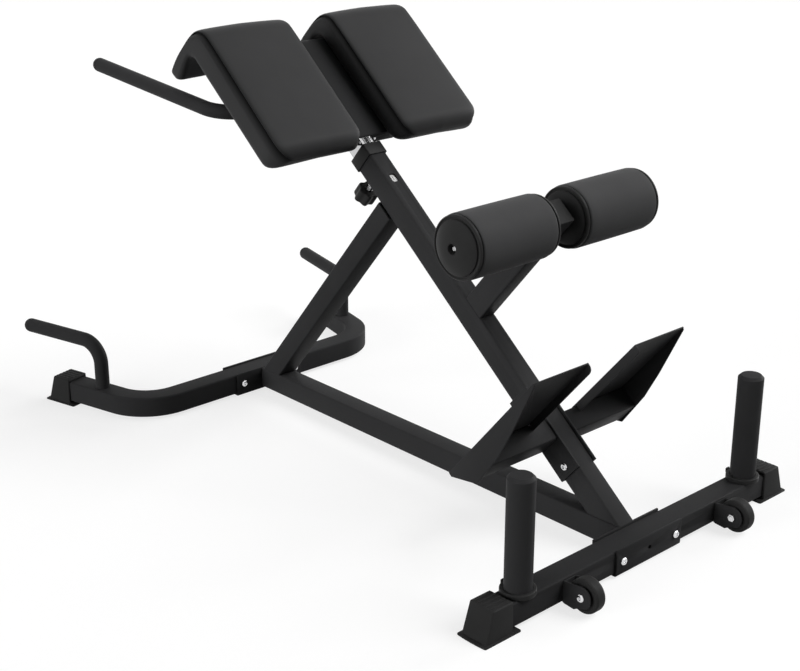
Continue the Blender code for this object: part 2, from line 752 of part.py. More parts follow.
def make_bracket(name, middle_x, marked):
    """A channel of bent sheet that wraps a stabilizer from below, with its two bolts."""
    inner = TUBE_DEPTH / 2 + GAP
    outer = BRACKET_OUTER
    floor_in = -TUBE_HEIGHT / 2 - GAP
    floor_out = floor_in - BRACKET_SHEET
    top = BEAM_TOP - TUBE_MIDDLE
    bend = BRACKET_SHEET
    outline = [(outer, top), (inner, top), (inner, floor_in), (-inner, floor_in)]
    outline += [(-inner, top), (-outer, top)]
    outline += arc((-outer + bend, floor_out + bend), bend, 180, 270, CORNER_STEPS)
    outline += arc((outer - bend, floor_out + bend), bend, 270, 360, CORNER_STEPS)
    half = BRACKET_HALF_WIDTH
    mesh = outline_mesh(name, [outline], -half, half, along="Y")
    bracket = add_piece(name, mesh, "powder_coat", None, (middle_x, 0, TUBE_MIDDLE))
    drill_bracket_holes(bracket)
    if marked:
        mark = box_mesh(name + "_mark", (3 * BRACKET_SHEET, BRACKET_MARK_SIZE, BRACKET_MARK_SIZE))
        cut(bracket, mark, (outer, 0, 0))
    for side, sign in SIDES.items():
        seat = (middle_x + outer + GAP, sign * BRACKET_BOLT_SPACING / 2, TUBE_MIDDLE)
        grip = 2 * outer + 2 * GAP
        turn = (0, math.radians(90), 0)
        add_bolt(name + "_bolt_" + side, grip, "zinc_steel", None, seat, turn)


def make_base_beam():
    """The tube between the two brackets."""
    outlines = tube_outlines(BEAM_WIDTH, BEAM_HEIGHT, TUBE_CORNER, BEAM_WALL)
    front = FRONT_X - TUBE_DEPTH / 2 - BRACKET_OUTER - GAP
    rear = FRONT_X - REAR_OFFSET + BRACKET_OUTER + GAP
    half = (front - rear) / 2
    mesh = outline_mesh("base_beam", outlines, -half, half, along="X")
    middle = ((front + rear) / 2, 0, BEAM_TOP - BEAM_HEIGHT / 2)
    add_piece("base_beam", mesh, "powder_coat", None, middle)


def cut_at_beam(piece, name):
    """Cuts a slanted tube level, just above the beam's top."""
    size = (2 * REAR_OFFSET, POST_WIDTH + STRUT_WIDTH, REAR_OFFSET)
    tool = box_mesh(name + "_floor", size)
    level = Matrix.Translation((FRONT_X - REAR_OFFSET / 2, 0, BEAM_TOP + GAP - size[2] / 2))
    inside = frame_matrix(piece).inverted() @ level
    cut(piece, tool, inside.to_translation(), inside.to_euler())


def frame_matrix(item):
    """An object's place in the world, worked out from its parents."""
    own = Matrix.LocRotScale(item.location, item.rotation_euler, None)
    return frame_matrix(item.parent) @ own if item.parent else own


def make_main_post(post_frame):
    """The slanted tube, with its pin hole, mark window and footrest bolt hole."""
    outlines = tube_outlines(POST_WIDTH, POST_DEPTH, POST_CORNER, POST_WALL)
    outlines = [[(b, a) for a, b in outline] for outline in outlines]
    low = BEAM_TOP
    mesh = outline_mesh("main_post", outlines, low, POST_TOP)
    post = add_piece("main_post", mesh, "powder_coat", post_frame, (POST_MIDDLE, 0, 0))
    cut_at_beam(post, "main_post")
    window = rounded_rectangle(WINDOW_WIDTH, WINDOW_LENGTH, WINDOW_CORNER)
    window = outline_mesh("mark_window", [window], 0, POST_DEPTH, along="X")
    cut(post, window, (0, 0, WINDOW_HEIGHT_ON_POST))
    pin_hole = cylinder_mesh("post_pin_hole", PIN_RADIUS + RUNNING_GAP, POST_DEPTH, along="X")
    cut(post, pin_hole, (-POST_DEPTH / 2, 0, PIN_HEIGHT_ON_POST))
    radius = BOLT_RADIUS + BOLT_CLEARANCE
    bolt_hole = cylinder_mesh("post_bolt_hole", radius, 2 * POST_WIDTH, along="Y")
    cut(post, bolt_hole, (0, 0, FOOTREST_BOTTOM + FOOTREST_BOLT_UP))


def make_rear_strut(post_frame):
    """The tube that props the post from behind."""
    outlines = tube_outlines(STRUT_WIDTH, STRUT_DEPTH, TUBE_CORNER, STRUT_WALL)
    rise = math.sin(POST_SLOPE) * STRUT_HEIGHT_ON_POST
    length = (rise + STRUT_DEPTH) / math.cos(POST_SLOPE)
    mesh = outline_mesh("rear_strut", outlines, -length, 0, along="X")
    seat = (POST_BACK - GAP, 0, STRUT_HEIGHT_ON_POST)
    strut = add_piece("rear_strut", mesh, "powder_coat", post_frame, seat)
    cut_at_beam(strut, "rear_strut")


def make_post_collar(post_frame):
    """The plastic collar on the post's mouth."""
    outer_y = POST_WIDTH + 2 * GAP + 2 * COLLAR_WALL
    outer_n = POST_DEPTH + 2 * GAP + 2 * COLLAR_WALL
    top = POST_TOP + GAP + COLLAR_LIP
    outline = rounded_rectangle(outer_n, outer_y, POST_CORNER)
    mesh = outline_mesh("post_collar", [outline], top - COLLAR_HEIGHT, top)
    collar = add_piece("post_collar", mesh, "black_plastic", post_frame, (POST_MIDDLE, 0, 0))
    pocket = rounded_rectangle(POST_DEPTH + 2 * GAP, POST_WIDTH + 2 * GAP, POST_CORNER)
    pocket_low = top - COLLAR_HEIGHT - CUT_MARGIN
    cut(collar, outline_mesh("collar_pocket", [pocket], pocket_low, POST_TOP + GAP))
    mouth = rounded_rectangle(
        PAD_POST_DEPTH + 2 * RUNNING_GAP, PAD_POST_WIDTH + 2 * RUNNING_GAP, POST_CORNER - POST_WALL
    )
    cut(collar, outline_mesh("collar_mouth", [mouth], POST_TOP, top + CUT_MARGIN))


def make_pop_pin(post_frame, pin_frame):
    """The pop pin: a fixed threaded barrel, with the sliding plunger and its lobed knob."""
    bore = PIN_RADIUS + RUNNING_GAP
    outer = PIN_BARREL_RADIUS
    barrel_end = -PIN_BARREL_LENGTH
    hexagon_middle = -PIN_HEXAGON_LENGTH / 2
    profile = [(bore, hexagon_middle), (outer, hexagon_middle), (outer, barrel_end)]
    profile += [(bore, barrel_end)]
    mesh = turned_mesh("pin_barrel", profile, BOLT_SIDES, closed=True, along="X")
    seat = (POST_BACK - GAP, 0, PIN_HEIGHT_ON_POST)
    barrel = add_piece("pin_barrel", mesh, "chrome", post_frame, seat)
    hexagon = cylinder_mesh("pin_hexagon", PIN_HEXAGON_RADIUS, PIN_HEXAGON_LENGTH, "X", 6)
    join(barrel, hexagon, (hexagon_middle, 0, 0))
    cut(barrel, cylinder_mesh("pin_bore", bore, 3 * PIN_BARREL_LENGTH, along="X"))

    knob_front = POST_BACK - GAP - PIN_BARREL_LENGTH - PIN_KNOB_GAP
    tip = PAD_POST_BACK - RUNNING_GAP
    length = tip - knob_front + PIN_SOCKET_DEPTH
    profile = [(0, 0), (PIN_RADIUS - PIN_TIP_CHAMFER, 0), (PIN_RADIUS, -PIN_TIP_CHAMFER)]
    profile += [(PIN_RADIUS, -length), (0, -length)]
    rod = turned_mesh("pin_plunger", profile, BOLT_SIDES, along="X")
    add_piece("pin_plunger", rod, "chrome", pin_frame, (tip, 0, 0))
    make_pin_knob(pin_frame, knob_front)


def make_pin_knob(pin_frame, knob_front):
    """The lobed knob, with a socket for the plunger and a pocket that slides over the barrel."""
    outline = []
    count = PIN_KNOB_LOBES * LOBE_STEPS
    for step in range(count):
        angle = 2 * math.pi * step / count
        radius = PIN_KNOB_RADIUS + PIN_KNOB_LOBE * math.cos(PIN_KNOB_LOBES * angle)
        outline.append((radius * math.cos(angle), radius * math.sin(angle)))
    mesh = outline_mesh("pin_knob", [outline], -PIN_KNOB_LENGTH, 0, along="X")
    knob = add_piece("pin_knob", mesh, "black_plastic", pin_frame, (knob_front, 0, 0))
    rounding = knob.modifiers.new("Rounding", "BEVEL")
    rounding.width = PIN_KNOB_ROUNDING
    rounding.segments = 1
    rounding.angle_limit = math.radians(60)
    socket_depth = PIN_SOCKET_DEPTH + GAP
    cut(knob, cylinder_mesh("knob_socket", PIN_RADIUS + GAP, 2 * socket_depth, along="X"))
    pocket_depth = PIN_ENGAGEMENT + PIN_KNOB_POCKET_SPARE - PIN_KNOB_GAP
    pocket_radius = PIN_BARREL_RADIUS + PIN_KNOB_POCKET_CLEARANCE
    cut(knob, cylinder_mesh("knob_pocket", pocket_radius, 2 * pocket_depth, "X", ROUND_SIDES))


def make_roller_arm(post_frame):
    """The arm on the front of the post, its end plug and the roller axle through it."""
    outlines = tube_outlines(ROLLER_ARM_WIDTH, ROLLER_ARM_DEPTH, TUBE_CORNER, ROLLER_ARM_WALL)
    start = POST_FRONT + GAP
    mesh = outline_mesh("roller_arm", outlines, 0, ROLLER_ARM_END - start, along="X")
    seat = (start, 0, ROLLER_HEIGHT_ON_POST)
    arm = add_piece("roller_arm", mesh, "powder_coat", post_frame, seat)
    hole = cylinder_mesh("axle_hole", AXLE_RADIUS + GAP, 2 * ROLLER_ARM_WIDTH, "Y", ROUND_SIDES)
    cut(arm, hole, (ROLLER_REACH - start, 0, 0))

    head = rounded_rectangle(ROLLER_ARM_WIDTH, ROLLER_ARM_DEPTH, TUBE_CORNER)
    head = outline_mesh("roller_arm_plug", [head], 0, PLUG_HEAD, along="X")
    place_on_arm = (ROLLER_ARM_END + GAP, 0, ROLLER_HEIGHT_ON_POST)
    plug = add_piece("roller_arm_plug", head, "black_plastic", post_frame, place_on_arm)
    inset = 2 * (ROLLER_ARM_WALL + GAP)
    stub = rounded_rectangle(ROLLER_ARM_WIDTH - inset, ROLLER_ARM_DEPTH - inset, TUBE_CORNER)
    join(plug, outline_mesh("plug_stub", [stub], -PLUG_DEPTH, PLUG_HEAD / 2, along="X"))


def make_axle(post_frame):
    """The roller axle and the screws in its ends."""
    end = ROLLER_INNER_END + ROLLER_FOAM_LENGTH + AXLE_PROUD
    outlines = [arc((0, 0), radius, 0, 360, BOLT_SIDES)[:-1] for radius in (AXLE_RADIUS, AXLE_BORE)]
    mesh = outline_mesh("roller_axle", outlines, -end, end, along="Y")
    seat = (ROLLER_REACH, 0, ROLLER_HEIGHT_ON_POST)
    add_piece("roller_axle", mesh, "zinc_steel", post_frame, seat)
    shank = AXLE_BORE - GAP
    head = AXLE_SCREW_HEIGHT
    chamfer = AXLE_SCREW_CHAMFER
    profile = [(0, head), (AXLE_SCREW_HEAD - chamfer, head), (AXLE_SCREW_HEAD, head - chamfer)]
    profile += [(AXLE_SCREW_HEAD, GAP), (shank, GAP), (shank, -AXLE_SCREW_LENGTH)]
    profile += [(0, -AXLE_SCREW_LENGTH)]
    for side, sign in SIDES.items():
        mesh = turned_mesh("axle_screw_" + side, profile, BOLT_SIDES)
        turn = (math.radians(-90) * sign, 0, 0)
        seat = (ROLLER_REACH, sign * end, ROLLER_HEIGHT_ON_POST)
        add_piece("axle_screw_" + side, mesh, "zinc_steel", post_frame, seat, turn)


def roller_cap_profile(outer):
    """The section of a roller's end cap, from the foam's end outward along Z."""
    bore = AXLE_RADIUS + RUNNING_GAP
    hole = ROLLER_CAP_RECESS if outer else bore
    dome_start = hole + ROLLER_CAP_LIP
    dome = []
    for share in (0.45, 0.8, 1.0):
        radius = dome_start + (ROLLER_CAP_DISC - dome_start) * share
        fall = (ROLLER_CAP_FACE - ROLLER_CAP_DISC_EDGE) * share * share
        dome.append((radius, ROLLER_CAP_FACE - fall))
    profile = [(hole, ROLLER_CAP_FACE), (dome_start, ROLLER_CAP_FACE), *dome]
    profile += [(ROLLER_CAP_DISC, ROLLER_CAP_GROOVE), (ROLLER_CAP_CREST, ROLLER_CAP_GROOVE)]
    profile += [(ROLLER_CAP_CREST, ROLLER_CAP_RING)]
    corner = (ROLLER_CAP_RADIUS - ROLLER_CAP_ROUNDING, ROLLER_CAP_RING - ROLLER_CAP_ROUNDING)
    profile += arc(corner, ROLLER_CAP_ROUNDING, 90, 0, 2)
    profile += [(ROLLER_CAP_RADIUS, ROLLER_CAP_NECK_LENGTH), (ROLLER_CAP_NECK, ROLLER_CAP_NECK_LENGTH)]
    profile += [(ROLLER_CAP_NECK, GAP), (bore, GAP)]
    if outer:
        pocket = AXLE_PROUD + GAP
        profile += [(bore, pocket), (hole, pocket)]
    return profile


def make_rollers(roller_frames):
    """The foam rollers and their end caps, which turn on the axle."""
    for side, sign in SIDES.items():
        frame = roller_frames[side]
        outward = (math.radians(-90) * sign, 0, 0)
        inward = (math.radians(90) * sign, 0, 0)
        bore = AXLE_RADIUS + RUNNING_GAP
        edge = ROLLER_FOAM_EDGE
        length = ROLLER_FOAM_LENGTH
        rim = arc((ROLLER_RADIUS - edge, length - edge), edge, 90, 0, 2)
        rim += arc((ROLLER_RADIUS - edge, edge), edge, 0, -90, 2)
        foam = turned_mesh("foam", [(bore, length), *rim, (bore, 0)], closed=True)
        start = (0, sign * ROLLER_INNER_END, 0)
        add_piece("foam_roller_" + side, foam, "foam", frame, start, outward)
        outer_cap = turned_mesh("outer_cap", roller_cap_profile(True), closed=True)
        place_out = (0, sign * (ROLLER_INNER_END + length), 0)
        add_piece("roller_cap_outer_" + side, outer_cap, "black_plastic", frame, place_out, outward)
        inner_cap = turned_mesh("inner_cap", roller_cap_profile(False), closed=True)
        add_piece("roller_cap_inner_" + side, inner_cap, "black_plastic", frame, start, inward)


def make_footrest_bracket(post_frame):
    """The channel round the back of the post that carries the footrest, and its bolt."""
    inner_y = POST_WIDTH / 2 + GAP
    outer_y = inner_y + FOOTREST_SHEET
    inner_n = POST_BACK - GAP
    outer_n = inner_n - FOOTREST_SHEET
    front = POST_FRONT + FOOTREST_PROUD
    outline = [(front, outer_y), (outer_n, outer_y), (outer_n, -outer_y), (front, -outer_y)]
    outline += [(front, -inner_y), (inner_n, -inner_y), (inner_n, inner_y), (front, inner_y)]
    height = FOOTREST_TOP - FOOTREST_BOTTOM
    mesh = outline_mesh("footrest_bracket", [outline], 0, height)
    seat = (0, 0, FOOTREST_BOTTOM)
    bracket = add_piece("footrest_bracket", mesh, "powder_coat", post_frame, seat)
    radius = BOLT_RADIUS + BOLT_CLEARANCE
    hole = cylinder_mesh("footrest_hole", radius, 2 * (outer_y + CUT_MARGIN), along="Y")
    cut(bracket, hole, (POST_MIDDLE, 0, FOOTREST_BOLT_UP))
    head = (POST_MIDDLE, -outer_y - GAP, FOOTREST_BOTTOM + FOOTREST_BOLT_UP)
    grip = 2 * outer_y + 2 * GAP
    add_bolt("footrest_bolt", grip, "zinc_steel", post_frame, head, (math.radians(90), 0, 0))
    return outer_y


def side_plate_outline():
    """The foot plate's outer wall, in (n, u): deepest at the crossmember, tapering to the heel."""
    top = PLATE_HEIGHT_ON_POST
    deep = top - PLATE_SIDE_DEPTH
    return [
        (PLATE_TOE, top),
        (PLATE_TOE, top - PLATE_SIDE_END_DEPTH),
        (PLATE_SIDE_DEEP_START, deep),
        (PLATE_SIDE_DEEP_END, deep + PLATE_SIDE_END_DEPTH),
        (PLATE_SIDE_WAIST, top - PLATE_SIDE_WAIST_DEPTH),
        (PLATE_HEEL - PLATE_HEEL_CORNER, top - PLATE_HEEL_CORNER),
        (PLATE_HEEL, top),
    ]


def make_footrest(post_frame, bracket_outer):
    """The crossmembers and the bent sheet foot plates at both sides of the post."""
    cross_height = PLATE_HEIGHT_ON_POST - GAP - CROSS_BOTTOM
    cross_low = bracket_outer + GAP
    cross_high = PLATE_OUTER - PLATE_SHEET - GAP
    depth = CROSS_FRONT - CROSS_BACK
    outlines = tube_outlines(depth, cross_height, TUBE_CORNER, CROSS_WALL)
    half = (cross_high - cross_low) / 2
    cross_centre = ((CROSS_FRONT + CROSS_BACK) / 2, CROSS_BOTTOM + cross_height / 2)
    for side, sign in SIDES.items():
        mesh = outline_mesh("crossmember", outlines, -half, half, along="Y")
        seat = (cross_centre[0], sign * (cross_low + half), cross_centre[1])
        add_piece("footrest_crossmember_" + side, mesh, "powder_coat", post_frame, seat)
        make_foot_plate("foot_plate_" + side, sign, post_frame)


def make_foot_plate(name, sign, post_frame):
    """A sheet with a shallow rounded flange inside and a deep tapering wall outside."""
    low, high = sorted((sign * PLATE_INNER, sign * PLATE_OUTER))
    sheet = (
        (PLATE_TOE, PLATE_HEEL),
        (low, high),
        (PLATE_HEIGHT_ON_POST, PLATE_HEIGHT_ON_POST + PLATE_SHEET),
    )
    plate = add_piece(name, span_box_mesh(name, *sheet), "powder_coat", post_frame)
    overlap = PLATE_SHEET / 2
    wall = [(n, u + overlap if u == PLATE_HEIGHT_ON_POST else u) for n, u in side_plate_outline()]
    edge = sorted((sign * PLATE_OUTER, sign * (PLATE_OUTER - PLATE_SHEET)))
    join(plate, outline_mesh(name + "_wall", [wall], *edge, along="Y"))
    flange_low = PLATE_HEIGHT_ON_POST - PLATE_FLANGE
    corner = PLATE_FLANGE_CORNER
    notch_top = PLATE_HEIGHT_ON_POST + overlap / 2
    flange = [(PLATE_TOE, PLATE_HEIGHT_ON_POST + overlap), (PLATE_TOE, flange_low)]
    flange += [(CROSS_BACK - GAP, flange_low), (CROSS_BACK - GAP, notch_top)]
    flange += [(CROSS_FRONT + GAP, notch_top), (CROSS_FRONT + GAP, flange_low)]
    flange += arc((PLATE_HEEL - corner, flange_low + corner), corner, -90, 0, 4)
    flange += [(PLATE_HEEL, PLATE_HEIGHT_ON_POST + overlap)]
    edge = sorted((sign * PLATE_INNER, sign * (PLATE_INNER + PLATE_SHEET)))
    join(plate, outline_mesh(name + "_flange", [flange], *edge, along="Y"))


def make_horns():
    """The weight horns on the foot stabilizer, each with a ring and a latch tab at its foot."""
    bottom = TUBE_TOP + GAP
    inner = HORN_RADIUS - HORN_WALL
    horn = [
        (0, HORN_TOP),
        (HORN_RADIUS - HORN_CHAMFER, HORN_TOP),
        (HORN_RADIUS, HORN_TOP - HORN_CHAMFER),
        (HORN_RADIUS, bottom),
        (inner, bottom),
        (inner, HORN_TOP - HORN_CHAMFER - HORN_WALL),
        (0, HORN_TOP - HORN_CHAMFER - HORN_WALL),
    ]
    bore = HORN_RADIUS + GAP
    top = bottom + HORN_COLLAR_HEIGHT
    edge = HORN_COLLAR_RADIUS
    chamfer = HORN_COLLAR_CHAMFER
    ring = [(bore, top), (edge - chamfer, top), (edge, top - chamfer), (edge, bottom), (bore, bottom)]
    centre_x = FRONT_X - HORN_SETBACK
    for side, sign in SIDES.items():
        seat = (centre_x, sign * HORN_SPREAD, 0)
        mesh = turned_mesh("weight_horn_" + side, horn)
        add_piece("weight_horn_" + side, mesh, "powder_coat", None, seat)
        mesh = turned_mesh("horn_collar_" + side, ring, closed=True)
        add_piece("horn_collar_" + side, mesh, "black_plastic", None, seat)
        tab = box_mesh(
            "horn_tab_" + side,
            (HORN_TAB_THICKNESS, HORN_TAB_WIDTH, HORN_TAB_HEIGHT),
            (0, 0, HORN_TAB_HEIGHT / 2),
        )
        tab_x = centre_x - HORN_COLLAR_RADIUS - GAP - HORN_TAB_THICKNESS / 2
        tab_seat = (tab_x, sign * HORN_SPREAD, bottom)
        tab = add_piece("horn_tab_" + side, tab, "black_plastic", None, tab_seat)
        rounding = tab.modifiers.new("Rounding", "BEVEL")
        rounding.width = HORN_TAB_ROUNDING
        rounding.segments = 1


def fork_outline():
    """A fork's side in (x, z) from the wheel's axis: a round nose and a lip that dips at the back."""
    profile = [
        (GAP, FORK_TOP),
        (GAP, FORK_BACK_BOTTOM),
        (FORK_LIP_START, FORK_LIP_START_HEIGHT),
        (FORK_LIP_END, FORK_LIP_END_HEIGHT),
    ]
    profile = [(x - WHEEL_REACH, z - WHEEL_HEIGHT) for x, z in profile]
    return profile + arc((0, 0), FORK_NOSE_RADIUS, -95, 95, 10)


def wheel_profile():
    """A wheel's section: hub and tread at full width, with the web between them set back."""
    half = WHEEL_WIDTH / 2
    face = half - WHEEL_RECESS
    bore = BOLT_RADIUS + RUNNING_GAP
    hub = WHEEL_HUB_RADIUS
    tread = WHEEL_RADIUS - WHEEL_TREAD
    edge = WHEEL_EDGE
    profile = [(bore, half), (hub, half), (hub + WHEEL_STEP, face), (tread, face)]
    profile += [(tread + WHEEL_STEP, half)]
    profile += arc((WHEEL_RADIUS - edge, half - edge), edge, 90, 0, 2)
    return profile + [(radius, -height) for radius, height in reversed(profile)]


def make_wheels(wheel_frames):
    """The transport wheels, with a fork and a bolt for each."""
    half = FORK_WIDTH / 2
    inner = half - FORK_SHEET
    fork_start = GAP + FORK_SHEET - WHEEL_REACH
    slot = (
        (fork_start, FORK_NOSE_RADIUS + CUT_MARGIN),
        (-inner, inner),
        (-2 * FORK_NOSE_RADIUS, 2 * FORK_NOSE_RADIUS),
    )
    for side, sign in SIDES.items():
        frame = wheel_frames[side]
        mesh = outline_mesh("wheel_fork", [fork_outline()], -half, half, along="Y")
        middle = (FRONT_X + WHEEL_REACH, sign * WHEEL_SPREAD, WHEEL_HEIGHT)
        fork = add_piece("wheel_fork_" + side, mesh, "powder_coat", None, middle)
        cut(fork, span_box_mesh("fork_slot", *slot))
        hole = cylinder_mesh("fork_hole", BOLT_RADIUS + BOLT_CLEARANCE, 2 * FORK_WIDTH, along="Y")
        cut(fork, hole)
        wheel = turned_mesh("wheel", wheel_profile(), WHEEL_SIDES, closed=True, along="Y")
        add_piece("wheel_" + side, wheel, "black_rubber", frame)
        seat = (middle[0], middle[1] + sign * (half + GAP), middle[2])
        turn = (math.radians(-90) * sign, 0, 0)
        grip = FORK_WIDTH + 2 * GAP
        add_bolt("wheel_bolt_" + side, grip, "zinc_steel", None, seat, turn)


def make_pushup_handles():
    """The bent handles that rise from the rear stabilizer's arms."""
    for side, sign in SIDES.items():
        heading = (-math.cos(REAR_SPLAY), sign * math.sin(REAR_SPLAY))
        tip = (heading[0] * PUSHUP_REACH, heading[1] * PUSHUP_REACH, PUSHUP_HEIGHT)
        corners = [(0, 0, TUBE_TOP + GAP), (0, 0, PUSHUP_HEIGHT), tip]
        points, scales = domed_bar(corners, PUSHUP_BEND, PUSHUP_RADIUS)
        mesh = tube_mesh("pushup_handle_" + side, points, PUSHUP_RADIUS, scales)
        seat = (FRONT_X + PUSHUP_X, sign * PUSHUP_Y, 0)
        add_piece("pushup_handle_" + side, mesh, "powder_coat", None, seat)


def make_pad_post(carriage):
    """The chromed tube that slides in the post, with its row of pin holes and marked strip."""
    corner = POST_CORNER - POST_WALL
    outlines = tube_outlines(PAD_POST_DEPTH, PAD_POST_WIDTH, corner, PAD_POST_WALL)
    mesh = outline_mesh("pad_post", outlines, PAD_POST_BOTTOM, PAD_POST_TOP)
    middle = (PAD_POST_FRONT + PAD_POST_BACK) / 2
    post = add_piece("pad_post", mesh, "chrome", carriage, (middle, 0, 0))
    heights = [PIN_HEIGHT_ON_POST - step * SLIDE_PITCH for step in range(SLIDE_STEPS + 1)]
    places = [(PAD_POST_BACK - middle, 0, height) for height in heights]
    radius = PIN_RADIUS + RUNNING_GAP
    cut(post, cylinder_mesh("pad_post_holes", radius, PAD_POST_DEPTH / 2, "X", places=places))
    strip_top = WINDOW_HEIGHT_ON_POST + WINDOW_LENGTH / 2
    strip_bottom = WINDOW_HEIGHT_ON_POST - SLIDE_TRAVEL - WINDOW_LENGTH / 2
    half = LABEL_WIDTH / 2
    recess_floor = PAD_POST_FRONT - LABEL_RECESS
    recess = (
        (recess_floor, PAD_POST_FRONT + CUT_MARGIN),
        (-half - GAP, half + GAP),
        (strip_bottom - GAP, strip_top + GAP),
    )
    cut(post, span_box_mesh("label_recess", *recess), (-middle, 0, 0))
    strip = (
        (recess_floor + GAP, recess_floor + GAP + LABEL_THICKNESS),
        (-half, half),
        (strip_bottom, strip_top),
    )
    add_piece("position_label", span_box_mesh("position_label", *strip), "label_white", carriage)


def make_pad_plate(carriage):
    """The sheet that carries both pads, flanged at the bottom and curled at the top."""
    sheet = PAD_PLATE_SHEET
    middle = PAD_POST_FRONT + GAP + sheet / 2
    curl = PAD_CURL_INNER - PAD_PLATE_CURL_GAP - sheet / 2
    flange_n = -PAD_PLATE_FLANGE_DEPTH
    low = PAD_PLATE_BOTTOM + sheet / 2
    corners = [(flange_n, low), (middle, low), (middle, curl), (middle - PAD_PLATE_CURL_DEPTH, curl)]
    flange_bend = bent_path([(*corner, 0) for corner in corners[:3]], sheet, 2)
    curl_bend = bent_path([(*corner, 0) for corner in corners[1:]], PAD_PLATE_BEND, 4)
    path = [point.xy for point in flange_bend[:-1] + curl_bend[1:]]
    half = PAD_PLATE_WIDTH / 2
    mesh = outline_mesh("pad_plate", [band_outline(path, sheet)], -half, half, along="Y")
    plate = add_piece("pad_plate", mesh, "powder_coat", carriage)
    flange_span = (-2 * PAD_PLATE_FLANGE_DEPTH, middle - sheet / 2 - GAP)
    low_span = (PAD_PLATE_BOTTOM - CUT_MARGIN, PAD_PLATE_BOTTOM + 4 * sheet)
    notch = PAD_POST_WIDTH / 2 + GAP
    flange_half = PAD_PLATE_FLANGE_WIDTH / 2
    cut(plate, span_box_mesh("notch", flange_span, (-notch, notch), low_span))
    cut(plate, span_box_mesh("trim", flange_span, (flange_half, 2 * half), low_span))
    cut(plate, span_box_mesh("trim", flange_span, (-2 * half, -flange_half), low_span))
    place_n = (flange_n + middle) / 2
    shank = PAD_SCREW_RADIUS
    dome = [
        (PAD_SCREW_HEAD * across, PAD_SCREW_HEAD_HEIGHT * up)
        for across, up in arc((0, 0), 1.0, 90, 0, 2)
    ]
    profile = dome + [(shank, 0), (shank, -PAD_SCREW_LENGTH), (0, -PAD_SCREW_LENGTH)]
    for side, sign in SIDES.items():
        hole = cylinder_mesh("screw_hole", shank + GAP, 3 * sheet)
        cut(plate, hole, (place_n, sign * PAD_SCREW_SPREAD, low))
        mesh = turned_mesh("plate_screw_" + side, profile, BOLT_SIDES)
        seat = (place_n, sign * PAD_SCREW_SPREAD, PAD_PLATE_BOTTOM - GAP)
        turn = (math.pi, 0, 0)
        add_piece("plate_screw_" + side, mesh, "zinc_steel", carriage, seat, turn)


def pad_section():
    """The pad's cage in (n, u): pairs of points on its face and back, from its foot to its lip."""
    face = PAD_FACE
    back = PAD_UNDERSIDE
    low = PAD_BOTTOM
    outer = PAD_CURL_OUTER
    inner = PAD_CURL_INNER
    lip = -PAD_LIP_REACH
    return [
        ((face - 0.023, low), (back + 0.025, low + 0.001)),
        ((face - 0.006, low + 0.007), (back + 0.007, low + 0.010)),
        ((face, low + 0.024), (back, low + 0.030)),
        ((face, low + 0.050), (back, low + 0.052)),
        ((face, outer - 0.068), (back, inner - 0.042)),
        ((face - 0.003, outer - 0.036), (back, inner - 0.022)),
        ((face - 0.020, outer - 0.0145), (back - 0.007, inner - 0.0085)),
        ((face - 0.048, outer - 0.0045), (back - 0.019, inner - 0.001)),
        ((face - 0.080, outer - 0.0005), (back - 0.036, inner)),
        ((face - 0.109, outer + 0.0005), (lip + 0.020, inner - 0.001)),
        ((lip, outer - 0.005), (lip + 0.002, inner + 0.001)),
    ]


def pad_ring(rounding, swell, crown):
    """One ring of the pad's cage, rounded by a share, with its back and its face swelled."""
    pairs = pad_section()
    faces = []
    backs = []
    for index, (face, back) in enumerate(pairs):
        face = Vector(face)
        back = Vector(back)
        across = (back - face).normalized()
        face += across * (PAD_FACE_ROUNDING * rounding - crown)
        back += across * (swell - PAD_BACK_ROUNDING * rounding)
        if index < 3:
            face.y += PAD_FACE_CORNER * rounding
            back.y += PAD_BACK_CORNER * rounding
        if index == len(pairs) - 1:
            face.x += PAD_BACK_ROUNDING * rounding
            back.x += PAD_BACK_ROUNDING * rounding
        faces.append(face)
        backs.append(back)
    return faces + backs[::-1]


def make_pad(name, sign, carriage):
    """A hip pad: a cage of rings across its width, smoothed into a cushion that curls over.

    Its back swells past the plate at its outer side.
    """
    half = PAD_WIDTH / 2
    swell = PAD_BACK_SWELL
    stations = (
        (half, 1, swell, 0),
        (half - PAD_SIDE_STEP, 0.3, swell, 0),
        (half - PAD_SIDE_DEPTH, 0, swell, 0),
        (PAD_CROWN_PLACE, 0, 0, PAD_CROWN),
        (PAD_SIDE_DEPTH - half, 0, 0, 0),
        (PAD_SIDE_STEP - half, 0.3, 0, 0),
        (-half, 1, 0, 0),
    )
    work = bmesh.new()
    rings = []
    for place_y, *form in stations:
        ring = pad_ring(*form)
        rings.append([work.verts.new((point.x, sign * place_y, point.y)) for point in ring])
    count = len(rings[0])
    for first, second in zip(rings, rings[1:]):
        for index in range(count):
            after = (index + 1) % count
            work.faces.new((first[index], first[after], second[after], second[index]))
    for ring in (rings[0], rings[-1]):
        for index in range(count // 2 - 1):
            across = count - 1 - index
            work.faces.new((ring[index], ring[index + 1], ring[across - 1], ring[across]))
    bmesh.ops.recalc_face_normals(work, faces=work.faces)
    mesh = bpy.data.meshes.new(name)
    work.to_mesh(mesh)
    work.free()
    mesh.shade_smooth()
    pad = add_piece(name, mesh, "vinyl", carriage, (0, sign * PAD_MIDDLE, 0))
    smoothing = pad.modifiers.new("Smoothing", "SUBSURF")
    smoothing.levels = 1
    smoothing.render_levels = 1


